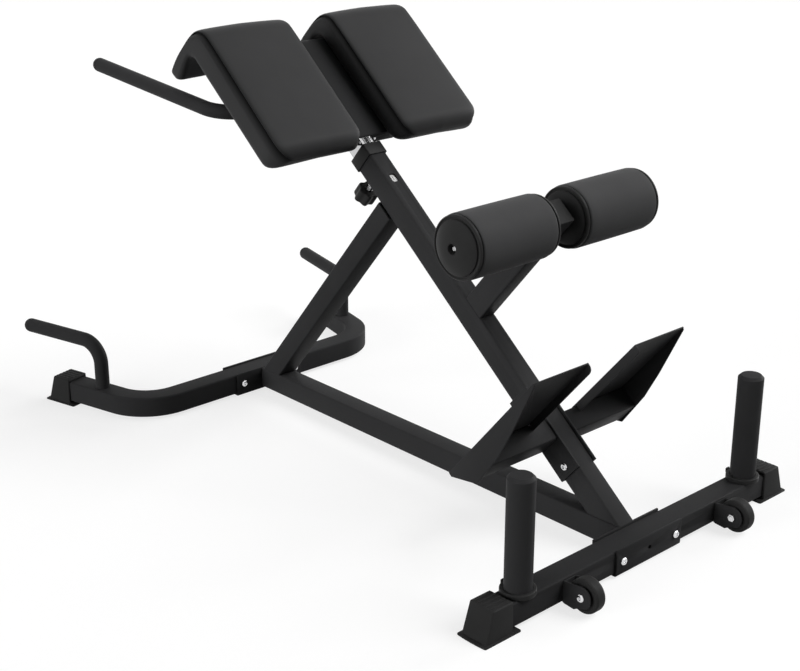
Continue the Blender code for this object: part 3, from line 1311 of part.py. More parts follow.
def make_handle_bar(carriage):
    """The U-shaped bar behind the pad post, whose legs reach back and rise a little."""
    reach = HANDLE_REACH
    spread = HANDLE_SPREAD
    corners = [(reach, -spread, 0), (0, -spread, 0), (0, spread, 0), (reach, spread, 0)]
    points, scales = domed_bar(corners, HANDLE_BEND, HANDLE_RADIUS, domed_start=True)
    mesh = tube_mesh("handle_bar", points, HANDLE_RADIUS, scales)
    seat = (PAD_POST_BACK - GAP - HANDLE_RADIUS, 0, HANDLE_HEIGHT_ON_POST)
    turn_back = math.pi + HANDLE_RISE + math.radians(90) - POST_SLOPE
    add_piece("handle_bar", mesh, "powder_coat", carriage, seat, (0, turn_back, 0))


def make_bench():
    """Builds every sub-part of the bench."""
    post_frame = empty("post_frame", None, (FRONT_X, 0, 0), (0, POST_SLOPE - math.radians(90), 0))
    carriage = empty("pad_carriage", post_frame)
    pin_frame = empty("pin_frame", post_frame, (0, 0, PIN_HEIGHT_ON_POST))
    roller_frames = {}
    wheel_frames = {}
    for side, sign in SIDES.items():
        roller_place = (ROLLER_REACH, 0, ROLLER_HEIGHT_ON_POST)
        roller_frames[side] = empty("roller_frame_" + side, post_frame, roller_place)
        wheel_place = (FRONT_X + WHEEL_REACH, sign * WHEEL_SPREAD, WHEEL_HEIGHT)
        wheel_frames[side] = empty("wheel_frame_" + side, None, wheel_place)

    make_foot_stabilizer()
    make_rear_stabilizer()
    make_caps()
    make_bracket("front_bracket", FRONT_X - TUBE_DEPTH / 2, True)
    make_bracket("rear_bracket", FRONT_X - REAR_OFFSET, False)
    make_base_beam()
    make_main_post(post_frame)
    make_rear_strut(post_frame)
    make_post_collar(post_frame)
    make_pop_pin(post_frame, pin_frame)
    make_roller_arm(post_frame)
    make_axle(post_frame)
    make_rollers(roller_frames)
    bracket_outer = make_footrest_bracket(post_frame)
    make_footrest(post_frame, bracket_outer)
    make_horns()
    make_wheels(wheel_frames)
    make_pushup_handles()
    make_pad_post(carriage)
    make_pad_plate(carriage)
    for side, sign in SIDES.items():
        make_pad("hip_pad_" + side, sign, carriage)
    make_handle_bar(carriage)


make_bench()
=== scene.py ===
"""Looks of the hyperextension bench: finished metal, cushions, foam and fasteners on the CAD frame.

Lengths are in metres. The bench is mirrored in the plane Y = 0. The post's own frame has n square
to the post's front face, y across it and u up along it.
"""

import json
import math

import bmesh
import bpy
from mathutils import Matrix, Vector


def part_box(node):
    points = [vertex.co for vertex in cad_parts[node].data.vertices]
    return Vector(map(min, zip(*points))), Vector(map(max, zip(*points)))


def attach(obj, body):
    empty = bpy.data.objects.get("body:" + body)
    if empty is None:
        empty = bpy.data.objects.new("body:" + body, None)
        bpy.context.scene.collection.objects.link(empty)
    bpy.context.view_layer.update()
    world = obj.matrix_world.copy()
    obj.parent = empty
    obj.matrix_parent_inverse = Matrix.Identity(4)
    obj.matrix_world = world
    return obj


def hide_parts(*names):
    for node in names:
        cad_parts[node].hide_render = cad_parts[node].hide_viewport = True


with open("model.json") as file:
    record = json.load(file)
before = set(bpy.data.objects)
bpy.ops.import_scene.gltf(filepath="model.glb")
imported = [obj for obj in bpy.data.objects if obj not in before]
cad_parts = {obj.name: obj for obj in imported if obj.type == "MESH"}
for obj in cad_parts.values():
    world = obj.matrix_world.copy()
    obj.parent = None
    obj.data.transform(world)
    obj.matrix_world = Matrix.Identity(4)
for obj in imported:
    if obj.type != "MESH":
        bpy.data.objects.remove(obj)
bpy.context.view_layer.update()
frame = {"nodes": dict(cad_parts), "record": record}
NODES = frame["nodes"]
SLOTS = {row["node"]: row["material_slot"] for row in frame["record"]["subparts"]}
BODIES = {
    node: body
    for body, nodes in frame["record"]["behaviour"]["bodies"].items()
    for node in nodes
}
SIDES = {"left": -1, "right": 1}
UP = Vector((0, 0, 1))

# The post's frame
FRONT_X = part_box("foot_stabilizer")[1].x
SLOPE = math.radians(40.0)
N_AXIS = Vector((math.sin(SLOPE), 0, math.cos(SLOPE)))
Y_AXIS = Vector((0, 1, 0))
U_AXIS = Vector((-math.cos(SLOPE), 0, math.sin(SLOPE)))
POST = Matrix.Translation((FRONT_X, 0, 0)) @ Matrix((N_AXIS, Y_AXIS, U_AXIS)).transposed().to_4x4()

# Sizes that the CAD model also has
GAP = 0.0003
TUBE_DEPTH = 0.0495
TUBE_HEIGHT = 0.0456
TUBE_CORNER = 0.004
TUBE_CLEARANCE = 0.0073
REAR_OFFSET = 1.13375
REAR_CORNER = 0.3196
REAR_BEND_RADIUS = 0.103
REAR_SPLAY = math.radians(14.0)
REAR_ARM_LENGTH = 0.2464
POST_BACK = -0.0407
PAD_POST_FRONT = 0.0074
PAD_POST_DEPTH = 0.0448
WINDOW_HEIGHT_ON_POST = 0.8925
SLIDE_PITCH = 0.040
SLIDE_SETTINGS = 6
LABEL_RECESS = 0.0008
LABEL_THICKNESS = 0.0003
PIN_HEIGHT_ON_POST = 0.925
PIN_BORE = 0.0043
PIN_BARREL_LENGTH = 0.0235
PIN_HEXAGON_RADIUS = 0.0109
PIN_HEXAGON_LENGTH = 0.0096
PIN_KNOB_GAP = 0.0025
PIN_KNOB_RADIUS = 0.0210
PIN_KNOB_LOBE = 0.0020
PIN_KNOB_LENGTH = 0.0295
PIN_KNOB_POCKET = 0.0081
PIN_KNOB_POCKET_DEPTH = 0.0075
ROLLER_REACH = 0.2776
ROLLER_HEIGHT_ON_POST = 0.5725
ROLLER_RADIUS = 0.0592
ROLLER_INNER_END = 0.0432
ROLLER_FOAM_LENGTH = 0.1853
ROLLER_CAP_FACE = 0.0195
ROLLER_CAP_RECESS = 0.0095
ROLLER_CAP_SEAT = 0.0088
AXLE_RADIUS = 0.012
HORN_RADIUS = 0.0247
HORN_WALL = 0.003
HORN_CHAMFER = 0.0055
HORN_COLLAR_RADIUS = 0.032
HORN_COLLAR_HEIGHT = 0.009
WHEEL_BORE = 0.0043
WHEEL_TREAD = 0.008
WHEEL_RECESS = 0.002
WHEEL_STEP = 0.001
PUSHUP_RADIUS = 0.0155
PUSHUP_HEIGHT = 0.156
PUSHUP_ARM_PLACE = 0.1274
PUSHUP_REACH = 0.2282
PUSHUP_BEND = 0.048
PAD_INNER = 0.0523
PAD_WIDTH = 0.2121
HANDLE_RADIUS = 0.015
HANDLE_HEIGHT_ON_POST = 1.1555
HANDLE_SPREAD = 0.235
HANDLE_BEND = 0.060
HANDLE_RISE = math.radians(5.1)
HANDLE_REACH = 0.4615
BOLT_RADIUS = 0.004
BOLT_HEAD_RADIUS = 0.0075
BOLT_HEAD_HEIGHT = 0.005
BOLT_END = 0.0015
NUT_HEIGHT = 0.005
AXLE_SCREW_HEAD = 0.0055
AXLE_SCREW_HEIGHT = 0.0055


# Materials

# Numbers of a colour mix node's sockets
MIX_FACTOR, MIX_A, MIX_B = 0, 6, 7
MIX_RESULT = 2
# Painted shade in the vinyl's crease: the crease attribute's shade value, and the share of the colour
# left there
PAINTED_CREASE_SHADE_TONES = ((0.0, 1.0), (0.45, 0.60), (0.75, 0.30), (1.0, 0.22))
# The range that most of a noise texture's values lie in
NOISE_LOW, NOISE_HIGH = 0.3, 0.7


class Look:
    """A node material that is being put together round one Principled shader."""

    def __init__(self, name, roughness, metallic=0.0, specular=0.5):
        self.material = bpy.data.materials.new(name)
        self.material.use_nodes = True
        self.tree = self.material.node_tree
        self.surface = self.tree.nodes["Principled BSDF"]
        self.surface.inputs["Metallic"].default_value = metallic
        self.surface.inputs["Roughness"].default_value = roughness
        self.surface.inputs["Specular IOR Level"].default_value = specular
        coords = self.tree.nodes.new("ShaderNodeTexCoord")
        self.place = coords.outputs["Object"]

    def node(self, kind, inputs=None, **settings):
        """Adds a node, sets it up and connects or sets its inputs."""
        item = self.tree.nodes.new(kind)
        for setting, value in settings.items():
            setattr(item, setting, value)
        for socket, value in (inputs or {}).items():
            if isinstance(value, bpy.types.NodeSocket):
                self.tree.links.new(value, item.inputs[socket])
            else:
                item.inputs[socket].default_value = value
        return item

    def noise(self, scale, detail, roughness=0.55, stretch=None):
        """A noise value over the surface."""
        place = self.place
        if stretch:
            mapping = self.node("ShaderNodeMapping", {"Vector": place, "Scale": stretch})
            place = mapping.outputs["Vector"]
        inputs = {"Vector": place, "Scale": scale, "Detail": detail, "Roughness": roughness}
        return self.node("ShaderNodeTexNoise", inputs).outputs["Fac"]

    def cells(self, scale, **settings):
        """The distance to the middle of the nearest cell of a pebbled or porous surface."""
        inputs = {"Vector": self.place, "Scale": scale}
        return self.node("ShaderNodeTexVoronoi", inputs, **settings).outputs["Distance"]

    def ramp(self, value, stops):
        """A colour ramp with (position, colour) stops."""
        item = self.node("ShaderNodeValToRGB", {"Fac": value})
        elements = item.color_ramp.elements
        while len(elements) < len(stops):
            elements.new(0.5)
        for element, (position, colour) in zip(elements, stops):
            element.position = position
            element.color = (*colour, 1.0)
        return item.outputs["Color"]

    def mottle(self, value, dark, light):
        """Turns a noise value into a colour between two others."""
        return self.ramp(value, [(NOISE_LOW, dark), (NOISE_HIGH, light)])

    def span(self, value, low, high):
        """Turns a noise value into a number between two others."""
        inputs = {"Value": value, "From Min": NOISE_LOW, "From Max": NOISE_HIGH,
                  "To Min": low, "To Max": high}
        return self.node("ShaderNodeMapRange", inputs).outputs["Result"]

    def set(self, socket, value):
        """Connects a value to the shader."""
        self.tree.links.new(value, self.surface.inputs[socket])

    def bump(self, value, depth, strength, under=None):
        """Turns a height into a normal, over another one if given."""
        inputs = {"Height": value, "Distance": depth, "Strength": strength}
        if under is not None:
            inputs["Normal"] = under
        return self.node("ShaderNodeBump", inputs).outputs["Normal"]

    def sheen(self, weight, roughness):
        """Adds a soft sheen that is even all over."""
        self.surface.inputs["Sheen Weight"].default_value = weight
        self.surface.inputs["Sheen Roughness"].default_value = roughness


def tone(level, tint=0.0):
    """A near grey colour, a touch cool where tint is above 0."""
    return (level, level, level * (1 + tint))


def powder_coat_look():
    """Satin charcoal powder coat: a fine orange peel, and a little change of tone and gloss."""
    look = Look("powder_coat", 0.52, specular=0.025)
    patches = look.noise(7.0, detail=4.0)
    peel = look.noise(620.0, detail=2.0, roughness=0.5)
    speck = look.noise(2600.0, detail=1.0, roughness=0.4)
    stops = [(0.30, tone(0.0280, 0.02)), (0.55, tone(0.0335, 0.03)), (0.75, tone(0.0395, 0.03))]
    shares = {"Factor": 0.45, "A": patches, "B": speck}
    mixed = look.node("ShaderNodeMix", shares, data_type="FLOAT")
    look.set("Base Color", look.ramp(mixed.outputs["Result"], stops))
    look.set("Roughness", look.span(peel, 0.46, 0.58))
    grain = look.bump(speck, depth=0.00004, strength=0.5)
    look.set("Normal", look.bump(peel, depth=0.00012, strength=0.35, under=grain))
    return look.material


def vinyl_look():
    """Smooth upholstery vinyl: a fine pebbled grain, softly glossy, with shade painted into its colour
    along the crease.
    """
    look = Look("vinyl", 0.50, specular=0.06)
    patches = look.noise(5.0, detail=3.0)
    pebble = look.cells(850.0, feature="SMOOTH_F1")
    fine = look.noise(1900.0, detail=2.0)
    # The crease attribute is painted shade; the ramp darkens the vinyl's colour by it
    crease = look.node("ShaderNodeAttribute", attribute_name="crease").outputs["Fac"]
    painted_shade_colour = look.ramp(crease, [(shade, tone(share)) for shade, share in PAINTED_CREASE_SHADE_TONES])
    even = look.mottle(patches, tone(0.0300, 0.02), tone(0.0370, 0.02))
    painted_shade_inputs = {MIX_FACTOR: 1.0, MIX_A: even, MIX_B: painted_shade_colour}
    mixed = look.node("ShaderNodeMix", painted_shade_inputs, data_type="RGBA", blend_type="MULTIPLY")
    look.set("Base Color", mixed.outputs[MIX_RESULT])
    look.set("Roughness", look.span(fine, 0.46, 0.56))
    under = look.bump(fine, depth=0.00003, strength=0.4)
    look.set("Normal", look.bump(pebble, depth=0.00010, strength=0.28, under=under))
    look.sheen(weight=0.03, roughness=0.5)
    return look.material


def foam_look():
    """Closed-cell foam: matt, with small pores and a faint film."""
    look = Look("foam", 0.74, specular=0.07)
    patches = look.noise(6.0, detail=3.0)
    pores = look.cells(1100.0)
    film = look.noise(420.0, detail=3.0)
    look.set("Base Color", look.mottle(patches, tone(0.0450, 0.02), tone(0.0550, 0.02)))
    look.set("Roughness", look.span(film, 0.66, 0.80))
    under = look.bump(pores, depth=0.00010, strength=0.45)
    look.set("Normal", look.bump(film, depth=0.00016, strength=0.30, under=under))
    look.sheen(weight=0.05, roughness=0.6)
    return look.material


def moulded_look(name, level, roughness, scale, depth):
    """Moulded plastic or rubber with an eroded grain."""
    look = Look(name, roughness, specular=0.07)
    grain = look.noise(scale, detail=2.0, roughness=0.6)
    patches = look.noise(14.0, detail=3.0)
    look.set("Base Color", look.mottle(patches, tone(level * 0.86), tone(level * 1.14)))
    look.set("Roughness", look.span(patches, roughness - 0.05, roughness + 0.05))
    look.set("Normal", look.bump(grain, depth, strength=0.4))
    return look.material


def plated_look(name, level, roughness, spread):
    """Bright plate with fine rub marks."""
    look = Look(name, roughness, metallic=1.0)
    marks = look.noise(260.0, detail=3.0, roughness=0.6, stretch=(1.0, 6.0, 1.0))
    patches = look.noise(22.0, detail=3.0)
    look.set("Base Color", look.mottle(patches, tone(level * 0.93, 0.01), tone(level, 0.015)))
    look.set("Roughness", look.span(marks, roughness - spread, roughness + spread))
    look.set("Normal", look.bump(marks, depth=0.00002, strength=0.25))
    return look.material


def printed_look(name, level):
    """A printed strip: even colour with a faint mottle."""
    look = Look(name, 0.45)
    patches = look.noise(900.0, detail=2.0)
    look.set("Base Color", look.mottle(patches, tone(level * 0.97), tone(level)))
    look.set("Roughness", look.span(patches, 0.40, 0.50))
    return look.material


LOOKS = {
    "powder_coat": powder_coat_look(),
    "vinyl": vinyl_look(),
    "foam": foam_look(),
    "black_plastic": moulded_look("black_plastic", 0.0240, 0.46, 1500.0, 0.00006),
    "black_rubber": moulded_look("black_rubber", 0.0230, 0.58, 1200.0, 0.00008),
    "chrome": plated_look("chrome", 0.58, 0.12, 0.03),
    "zinc_steel": plated_look("zinc_steel", 0.72, 0.22, 0.05),
    "label_white": printed_look("label_white", 0.82),
    "label_black": printed_look("label_black", 0.015),
}


# Shaping helpers

# Points closer than this are one point, in a made mesh and in a copy of the CAD
WELD_DISTANCE = 0.000002
COPY_WELD_DISTANCE = 0.00001
# Faces that meet at less than this angle are one face in a copy
COPY_FLAT_ANGLE = math.radians(0.6)
# A profile's point closer to its axis than this is on it
ON_AXIS = 0.00001
# Edges sharper than this many degrees stay sharp
SHARP_ANGLE = 32.0
FILLET_STEPS = 4
LATHE_SIDES = 96


def finish_mesh(mesh, sharp):
    """Welds a mesh, faces it outward and shades its round stretches smooth."""
    work = bmesh.new()
    work.from_mesh(mesh)
    bmesh.ops.remove_doubles(work, verts=work.verts, dist=WELD_DISTANCE)
    bmesh.ops.recalc_face_normals(work, faces=work.faces)
    work.to_mesh(mesh)
    work.free()
    mesh.shade_smooth()
    mesh.set_sharp_from_angle(angle=math.radians(sharp))


def place_in_scene(name, data):
    """A new object in the scene."""
    item = bpy.data.objects.new(name, data)
    bpy.context.scene.collection.objects.link(item)
    return item


def made_mesh(draft):
    """The mesh of an object as it is evaluated. The object is removed."""
    view = bpy.context.evaluated_depsgraph_get()
    mesh = bpy.data.meshes.new_from_object(draft.evaluated_get(view))
    bpy.data.objects.remove(draft)
    return mesh


def add(name, mesh, slot, body, replaces=(), modifiers=(), look=None, sharp=SHARP_ANGLE):
    """Adds a piece with its modifiers applied, its finish and its body."""
    draft = place_in_scene(name + "_draft", mesh)
    for kind, settings in modifiers:
        step = draft.modifiers.new(kind.title(), kind)
        for setting, value in settings.items():
            setattr(step, setting, value)
    final = made_mesh(draft)
    final.name = name
    finish_mesh(final, sharp)
    final.materials.clear()
    final.materials.append(LOOKS[look or slot])
    piece = place_in_scene(name, final)
    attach(piece, body)
    if replaces:
        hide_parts(*replaces)
    return piece


def stand_in(node, mesh, modifiers=(), sharp=SHARP_ANGLE):
    """Adds a piece that stands for one CAD node, on its body and in its slot."""
    return add("made_" + node, mesh, SLOTS[node], BODIES[node], (node,), modifiers, sharp=sharp)


def softened(node, width, segments=2, limit=28.0):
    """A copy of a CAD node with rounded edges, its flat stretches made of as few faces as need be."""
    work = bmesh.new()
    work.from_mesh(NODES[node].data)
    bmesh.ops.remove_doubles(work, verts=work.verts, dist=COPY_WELD_DISTANCE)
    bmesh.ops.dissolve_limit(
        work, angle_limit=COPY_FLAT_ANGLE, verts=work.verts, edges=work.edges, delimit=set()
    )
    bmesh.ops.triangulate(work, faces=[face for face in work.faces if len(face.verts) > 4])
    mesh = bpy.data.meshes.new(node)
    work.to_mesh(mesh)
    work.free()
    bevel = {
        "width": width,
        "segments": segments,
        "limit_method": "ANGLE",
        "angle_limit": math.radians(limit),
        "miter_outer": "MITER_ARC",
        "loop_slide": False,
    }
    return stand_in(node, mesh, [("BEVEL", bevel)])


def mesh_from(name, verts, faces, turn=None):
    """A mesh from points and faces, turned into place."""
    mesh = bpy.data.meshes.new(name)
    mesh.from_pydata([tuple(vert) for vert in verts], [], faces)
    if turn:
        mesh.transform(turn)
    return mesh


def aimed(origin, direction):
    """A frame at a place whose own Z points along a direction."""
    turn = Vector(direction).to_track_quat("Z", "Y").to_matrix().to_4x4()
    return Matrix.Translation(origin) @ turn


def middle(node):
    """The middle of a CAD node's box."""
    low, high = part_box(node)
    return (low + high) / 2


def ring(radius, sides):
    """Points on a circle."""
    angles = [2 * math.pi * side / sides for side in range(sides)]
    return [(radius * math.cos(a), radius * math.sin(a)) for a in angles]


def arc(centre, radius, start, stop, steps=6):
    """Points on an arc in a plane, with angles in degrees."""
    angles = [math.radians(start + (stop - start) * step / steps) for step in range(steps + 1)]
    return [(centre[0] + radius * math.cos(a), centre[1] + radius * math.sin(a)) for a in angles]


def filleted(points, closed=False):
    """Rounds the corners of a flat outline of (x, y, radius) points."""
    count = len(points)
    made = []
    for index, (x, y, radius) in enumerate(points):
        inner = closed or 0 < index < count - 1
        if not inner or radius <= 0:
            made.append((x, y))
            continue
        corner = Vector((x, y))
        to_before = Vector(points[index - 1][:2]) - corner
        to_after = Vector(points[(index + 1) % count][:2]) - corner
        half = to_before.normalized().angle(to_after.normalized()) / 2
        reach = min(radius / math.tan(half), to_before.length / 2, to_after.length / 2)
        start = corner + to_before.normalized() * reach
        stop = corner + to_after.normalized() * reach
        for step in range(FILLET_STEPS + 1):
            share = step / FILLET_STEPS
            point = start * (1 - share) ** 2 + corner * 2 * share * (1 - share) + stop * share ** 2
            made.append(tuple(point))
    return made


def lathe(name, profile, turn, sides=LATHE_SIDES, closed=False):
    """A profile of (radius, height) points turned about Z and put into place."""
    verts = []
    faces = []
    rings = []
    for radius, height in profile:
        if radius < ON_AXIS:
            rings.append([len(verts)] * sides)
            verts.append((0, 0, height))
            continue
        rings.append(list(range(len(verts), len(verts) + sides)))
        verts += [(x, y, height) for x, y in ring(radius, sides)]
    pairs = list(zip(rings, rings[1:]))
    if closed:
        pairs.append((rings[-1], rings[0]))
    for first, second in pairs:
        for side in range(sides):
            after = (side + 1) % sides
            loop = [first[side], first[after], second[after], second[side]]
            face = [vert for index, vert in enumerate(loop) if vert not in loop[:index]]
            if len(face) > 2:
                faces.append(face)
    return mesh_from(name, verts, faces, turn)


def skin(rings, size):
    """Faces over rings of equally many points, one after the other, with a face on each end."""
    faces = []
    for index in range(rings - 1):
        first = index * size
        second = first + size
        for step in range(size):
            after = (step + 1) % size
            faces.append((first + step, first + after, second + after, second + step))
    faces.append(tuple(range(size)))
    faces.append(tuple(range((rings - 1) * size, rings * size)))
    return faces


def sweep(name, path, sections, turn=None, up=UP):
    """Sections of (side, up) points carried along a path without twist."""
    path = [Vector(point) for point in path]
    verts = []
    for index, point in enumerate(path):
        before, after = path[max(index - 1, 0)], path[min(index + 1, len(path) - 1)]
        along = (after - before).normalized()
        up = (up - along * up.dot(along)).normalized()
        side = along.cross(up)
        verts += [point + side * a + up * b for a, b in sections[index]]
    return mesh_from(name, verts, skin(len(path), len(sections[0])), turn)


def bent_path(corners, radius, steps=18):
    """Replaces each inner corner of a path by an arc of the given radius."""
    corners = [Vector(corner) for corner in corners]
    points = [corners[0]]
    for before, corner, after in zip(corners, corners[1:], corners[2:]):
        arriving = (corner - before).normalized()
        leaving = (after - corner).normalized()
        turn = arriving.angle(leaving)
        setback = radius * math.tan(turn / 2)
        inward = (leaving - arriving).normalized()
        centre = corner + inward * (radius / math.cos(turn / 2))
        start = corner - arriving * setback - centre
        finish = corner + leaving * setback - centre
        for step in range(steps + 1):
            share = step / steps
            first = math.sin((1 - share) * turn) / math.sin(turn)
            second = math.sin(share * turn) / math.sin(turn)
            points.append(centre + start * first + finish * second)
    points.append(corners[-1])
    return points


def rectangle(width, height, corner):
    """A section with four round corners."""
    points = []
    for sign_a, sign_b, start in ((1, 1, 0), (-1, 1, 90), (-1, -1, 180), (1, -1, 270)):
        centre = (sign_a * (width / 2 - corner), sign_b * (height / 2 - corner))
        points += arc(centre, corner, start, start + 90)
    return points


# Hip pads

# Pairs of (n, u) points on the face and the back, from the foot up and round the curl to its lip
PAD_PAIRS = (
    ((0.0673, 0.9590), (0.0122, 0.9590)),
    ((0.0673, 1.0050), (0.0122, 1.0070)),
    ((0.0673, 1.1250), (0.0122, 1.1230)),
    ((0.0673, 1.2400), (0.0122, 1.2390)),
    ((0.0640, 1.2715), (0.0122, 1.2590)),
    ((0.0465, 1.2930), (0.0052, 1.2715)),
    ((0.0190, 1.3020), (-0.0068, 1.2780)),
    ((-0.0130, 1.3060), (-0.0238, 1.2785)),
    ((-0.0460, 1.3085), (-0.0460, 1.2765)),
    ((-0.0855, 1.3065), (-0.0805, 1.2715)),
)
# Pieces of the two curves between each two pairs
PAD_PIECES = 16
# Distance in from the side, and depth below the face: over the edge, into the crease, down the roll
PAD_FACE_SIDE = (
    (0.0700, -0.0014), (0.0400, -0.0004), (0.0240, 0.0006), (0.0150, 0.0015), (0.0080, 0.0030),
    (0.0040, 0.0054), (0.0042, 0.0080), (0.0085, 0.0108), (0.0048, 0.0130), (0.0012, 0.0158),
    (-0.0016, 0.0200), (-0.0032, 0.0260),
)
# The same for the back, with the height above it
PAD_BACK_SIDE = (
    (-0.0034, 0.0180), (-0.0030, 0.0110), (-0.0008, 0.0050), (0.0030, 0.0016), (0.0080, 0.0002),
    (0.0160, 0.0), (0.0500, 0.0),
)
# Pieces of a section's curve between each two of its points
PAD_STEPS = 3
# How far the middle of the face stands above the face's line
PAD_CROWN = 0.002
# Where the section is thinner than this, its side is drawn smaller in proportion
PAD_FULL_THICKNESS = 0.052
# How far the outer half's back swells, in full up to this distance from the side
PAD_SWELL = 0.0130
PAD_SWELL_START = 0.010
# The crease's number among a section's points
PAD_CREASE = 8
# The crease's depth as a factor: at the foot, what it loses further up, and the length that takes
PAD_CREASE_FACTOR = 1.2
PAD_CREASE_LOSS = 0.5
PAD_CREASE_FADE = 0.28
# How far the shade painted along the crease reaches over the roll and over the face
PAD_PAINTED_SHADE_REACH = (0.019, 0.014)
# The length and the depth of the round ends at the face, at the back and at the sides
PAD_FOOT_ROUND = ((0.030, 0.024), (0.034, 0.028), (0.034, 0.030))
PAD_LIP_ROUND = ((0.017, 0.014), (0.017, 0.015), (0.014, 0.011))
# Sections in each round end, the degrees from one to the next there, and sections between the ends
PAD_ROUND_STEPS = 10
PAD_ROUND_ANGLE = 9
PAD_PLAIN_STEPS = 60
# Places along a pad that are closer than this are one place
PAD_SAME_PLACE = 1e-9


def curve_through(points, steps):
    """A smooth curve through points, as (steps) short pieces between each two."""
    ends = [points[0] * 2 - points[1], *points, points[-1] * 2 - points[-2]]
    made = []
    for a, b, c, d in zip(ends, ends[1:], ends[2:], ends[3:]):
        for step in range(steps):
            t = step / steps
            bend = (a * 2 - b * 5 + c * 4 - d) * t * t + (b * 3 - a - c * 3 + d) * t * t * t
            made.append((b * 2 + (c - a) * t + bend) / 2)
    return made + [points[-1]]


def end_inset(distance, length, depth):
    """How far a round end draws its outline in at a distance from the end."""
    left = max(0.0, 1 - distance / length)
    return depth * (1 - math.sqrt(1 - left * left))


def pad_section(face, back, insets, crease, side):
    """Half a pad's section as (y, n, u), from the middle of the face round to that of the back."""
    face_in, back_in, side_in = insets
    half = PAD_WIDTH / 2
    across = (back - face).normalized()
    thick = (back - face).length
    scale = min(1.0, (thick - face_in - back_in) / PAD_FULL_THICKNESS)
    made = [(0.0, face + across * (face_in - PAD_CROWN))]
    for inset, depth in PAD_FACE_SIDE:
        at = depth * scale * (crease if depth > 0 else 1.0)
        made.append((half - side_in - inset, face + across * (face_in + at)))
    for inset, rise in PAD_BACK_SIDE:
        swell = 0.0
        if side > 0:
            swell = PAD_SWELL * (1 - min(1.0, max(0.0, inset - PAD_SWELL_START) / half))
        depth = thick + swell * scale * scale - back_in - rise * scale
        made.append((half - side_in - inset, face + across * depth))
    made.append((0.0, face + across * (thick - back_in)))
    return curve_through([Vector((side * y, point.x, point.y)) for y, point in made], PAD_STEPS)


def painted_crease_shade(section):
    """How much shade is painted into the colour at each point of a section by the crease, from 0 to 1.
    """
    crease = PAD_CREASE * PAD_STEPS
    shade = [1.0] * len(section)
    for way, reach in zip((1, -1), PAD_PAINTED_SHADE_REACH):
        gone = 0.0
        index = crease + way
        while 0 <= index < len(section):
            gone += (section[index] - section[index - way]).length
            shade[index] = max(0.0, 1 - gone / reach)
            index += way
    return shade


def pad_stations(total):
    """Distances along a pad of each of its sections, close together in the round ends."""
    foot, lip = PAD_FOOT_ROUND[2][0], PAD_LIP_ROUND[2][0]
    angles = [math.radians(PAD_ROUND_ANGLE * step) for step in range(PAD_ROUND_STEPS + 1)]
    stations = [foot * (1 - math.cos(angle)) for angle in angles[:-1]]
    plain = total - foot - lip
    stations += [foot + plain * (step + 1) / PAD_PLAIN_STEPS for step in range(PAD_PLAIN_STEPS)]
    return stations + [total - lip * (1 - math.cos(angle)) for angle in angles[-2::-1]]


def pad_mesh(sign):
    """A hip pad: a face that rolls over its edges into a crease, with a full side roll below it."""
    face_line = curve_through([Vector(face) for face, _ in PAD_PAIRS], PAD_PIECES)
    back_line = curve_through([Vector(back) for _, back in PAD_PAIRS], PAD_PIECES)
    middles = [(face + back) / 2 for face, back in zip(face_line, back_line)]
    reach = [0.0]
    for before, after in zip(middles, middles[1:]):
        reach.append(reach[-1] + (after - before).length)
    total = reach[-1]
    verts = []
    shades = []
    stations = pad_stations(total)
    for distance in stations:
        passed = [index for index, at in enumerate(reach) if at <= distance + PAD_SAME_PLACE]
        after = min(passed[-1] + 1, len(reach) - 1)
        share = (distance - reach[after - 1]) / (reach[after] - reach[after - 1])
        face = face_line[after - 1].lerp(face_line[after], share)
        back = back_line[after - 1].lerp(back_line[after], share)
        insets = [
            end_inset(distance, *low) + end_inset(total - distance, *high)
            for low, high in zip(PAD_FOOT_ROUND, PAD_LIP_ROUND)
        ]
        crease = PAD_CREASE_FACTOR - PAD_CREASE_LOSS * min(1.0, distance / PAD_CREASE_FADE)
        outer = pad_section(face, back, insets, crease, 1)
        inner = pad_section(face, back, insets, crease, -1)
        loop = outer + inner[-2:0:-1]
        # Painted shade along the crease for each point
        shades += painted_crease_shade(outer) + painted_crease_shade(inner)[-2:0:-1]
        verts += [(n, sign * (PAD_INNER + PAD_WIDTH / 2 + y), u) for y, n, u in loop]
    mesh = mesh_from("pad", verts, skin(len(stations), len(loop)), POST)
    # The point attribute crease carries the painted shade into the vinyl's colour
    layer = mesh.attributes.new("crease", "FLOAT", "POINT")
    layer.data.foreach_set("value", shades)
    return mesh


def make_pads():
    """The two hip pads."""
    for side, sign in SIDES.items():
        pad = stand_in("hip_pad_" + side, pad_mesh(sign), sharp=60.0)


# Ankle rollers

ROLLER_SIDES = 120
# The foam's rounded edge, and how far its middle swells, in this many steps
ROLLER_EDGE = 0.0042
ROLLER_SWELL = 0.0003
ROLLER_SWELL_STEPS = 12
# An end cap's (radius, height, fillet) points: its neck, its edge ring and the groove in its face
ROLLER_CAP_EDGE = (
    (0.0540, GAP, 0.0), (0.0540, 0.0018, 0.0003), (0.0572, 0.0019, 0.0006),
    (0.0577, 0.0032, 0.0008), (0.0574, 0.0062, 0.0022), (0.0558, 0.0078, 0.0022),
    (0.0536, 0.0077, 0.0010), (0.0528, 0.0058, 0.0006), (0.0498, 0.0054, 0.0004),
    (0.0494, 0.0086, 0.0012),
)
# The radius and the height of the domed disc's edge, the last drop at that edge, and the dome's steps
ROLLER_DISC_RADIUS = 0.0490
ROLLER_DISC_EDGE = 0.0096
ROLLER_DISC_LIP = 0.0006
ROLLER_DISC_STEPS = 16
# How far the dome ends from the hole, and the hole's rounded edge as (radius past it, depth) points
ROLLER_CROWN_INSET = 0.0012
ROLLER_HOLE_EDGE = ((0.0003, 0.0002), (0.0, 0.0009))


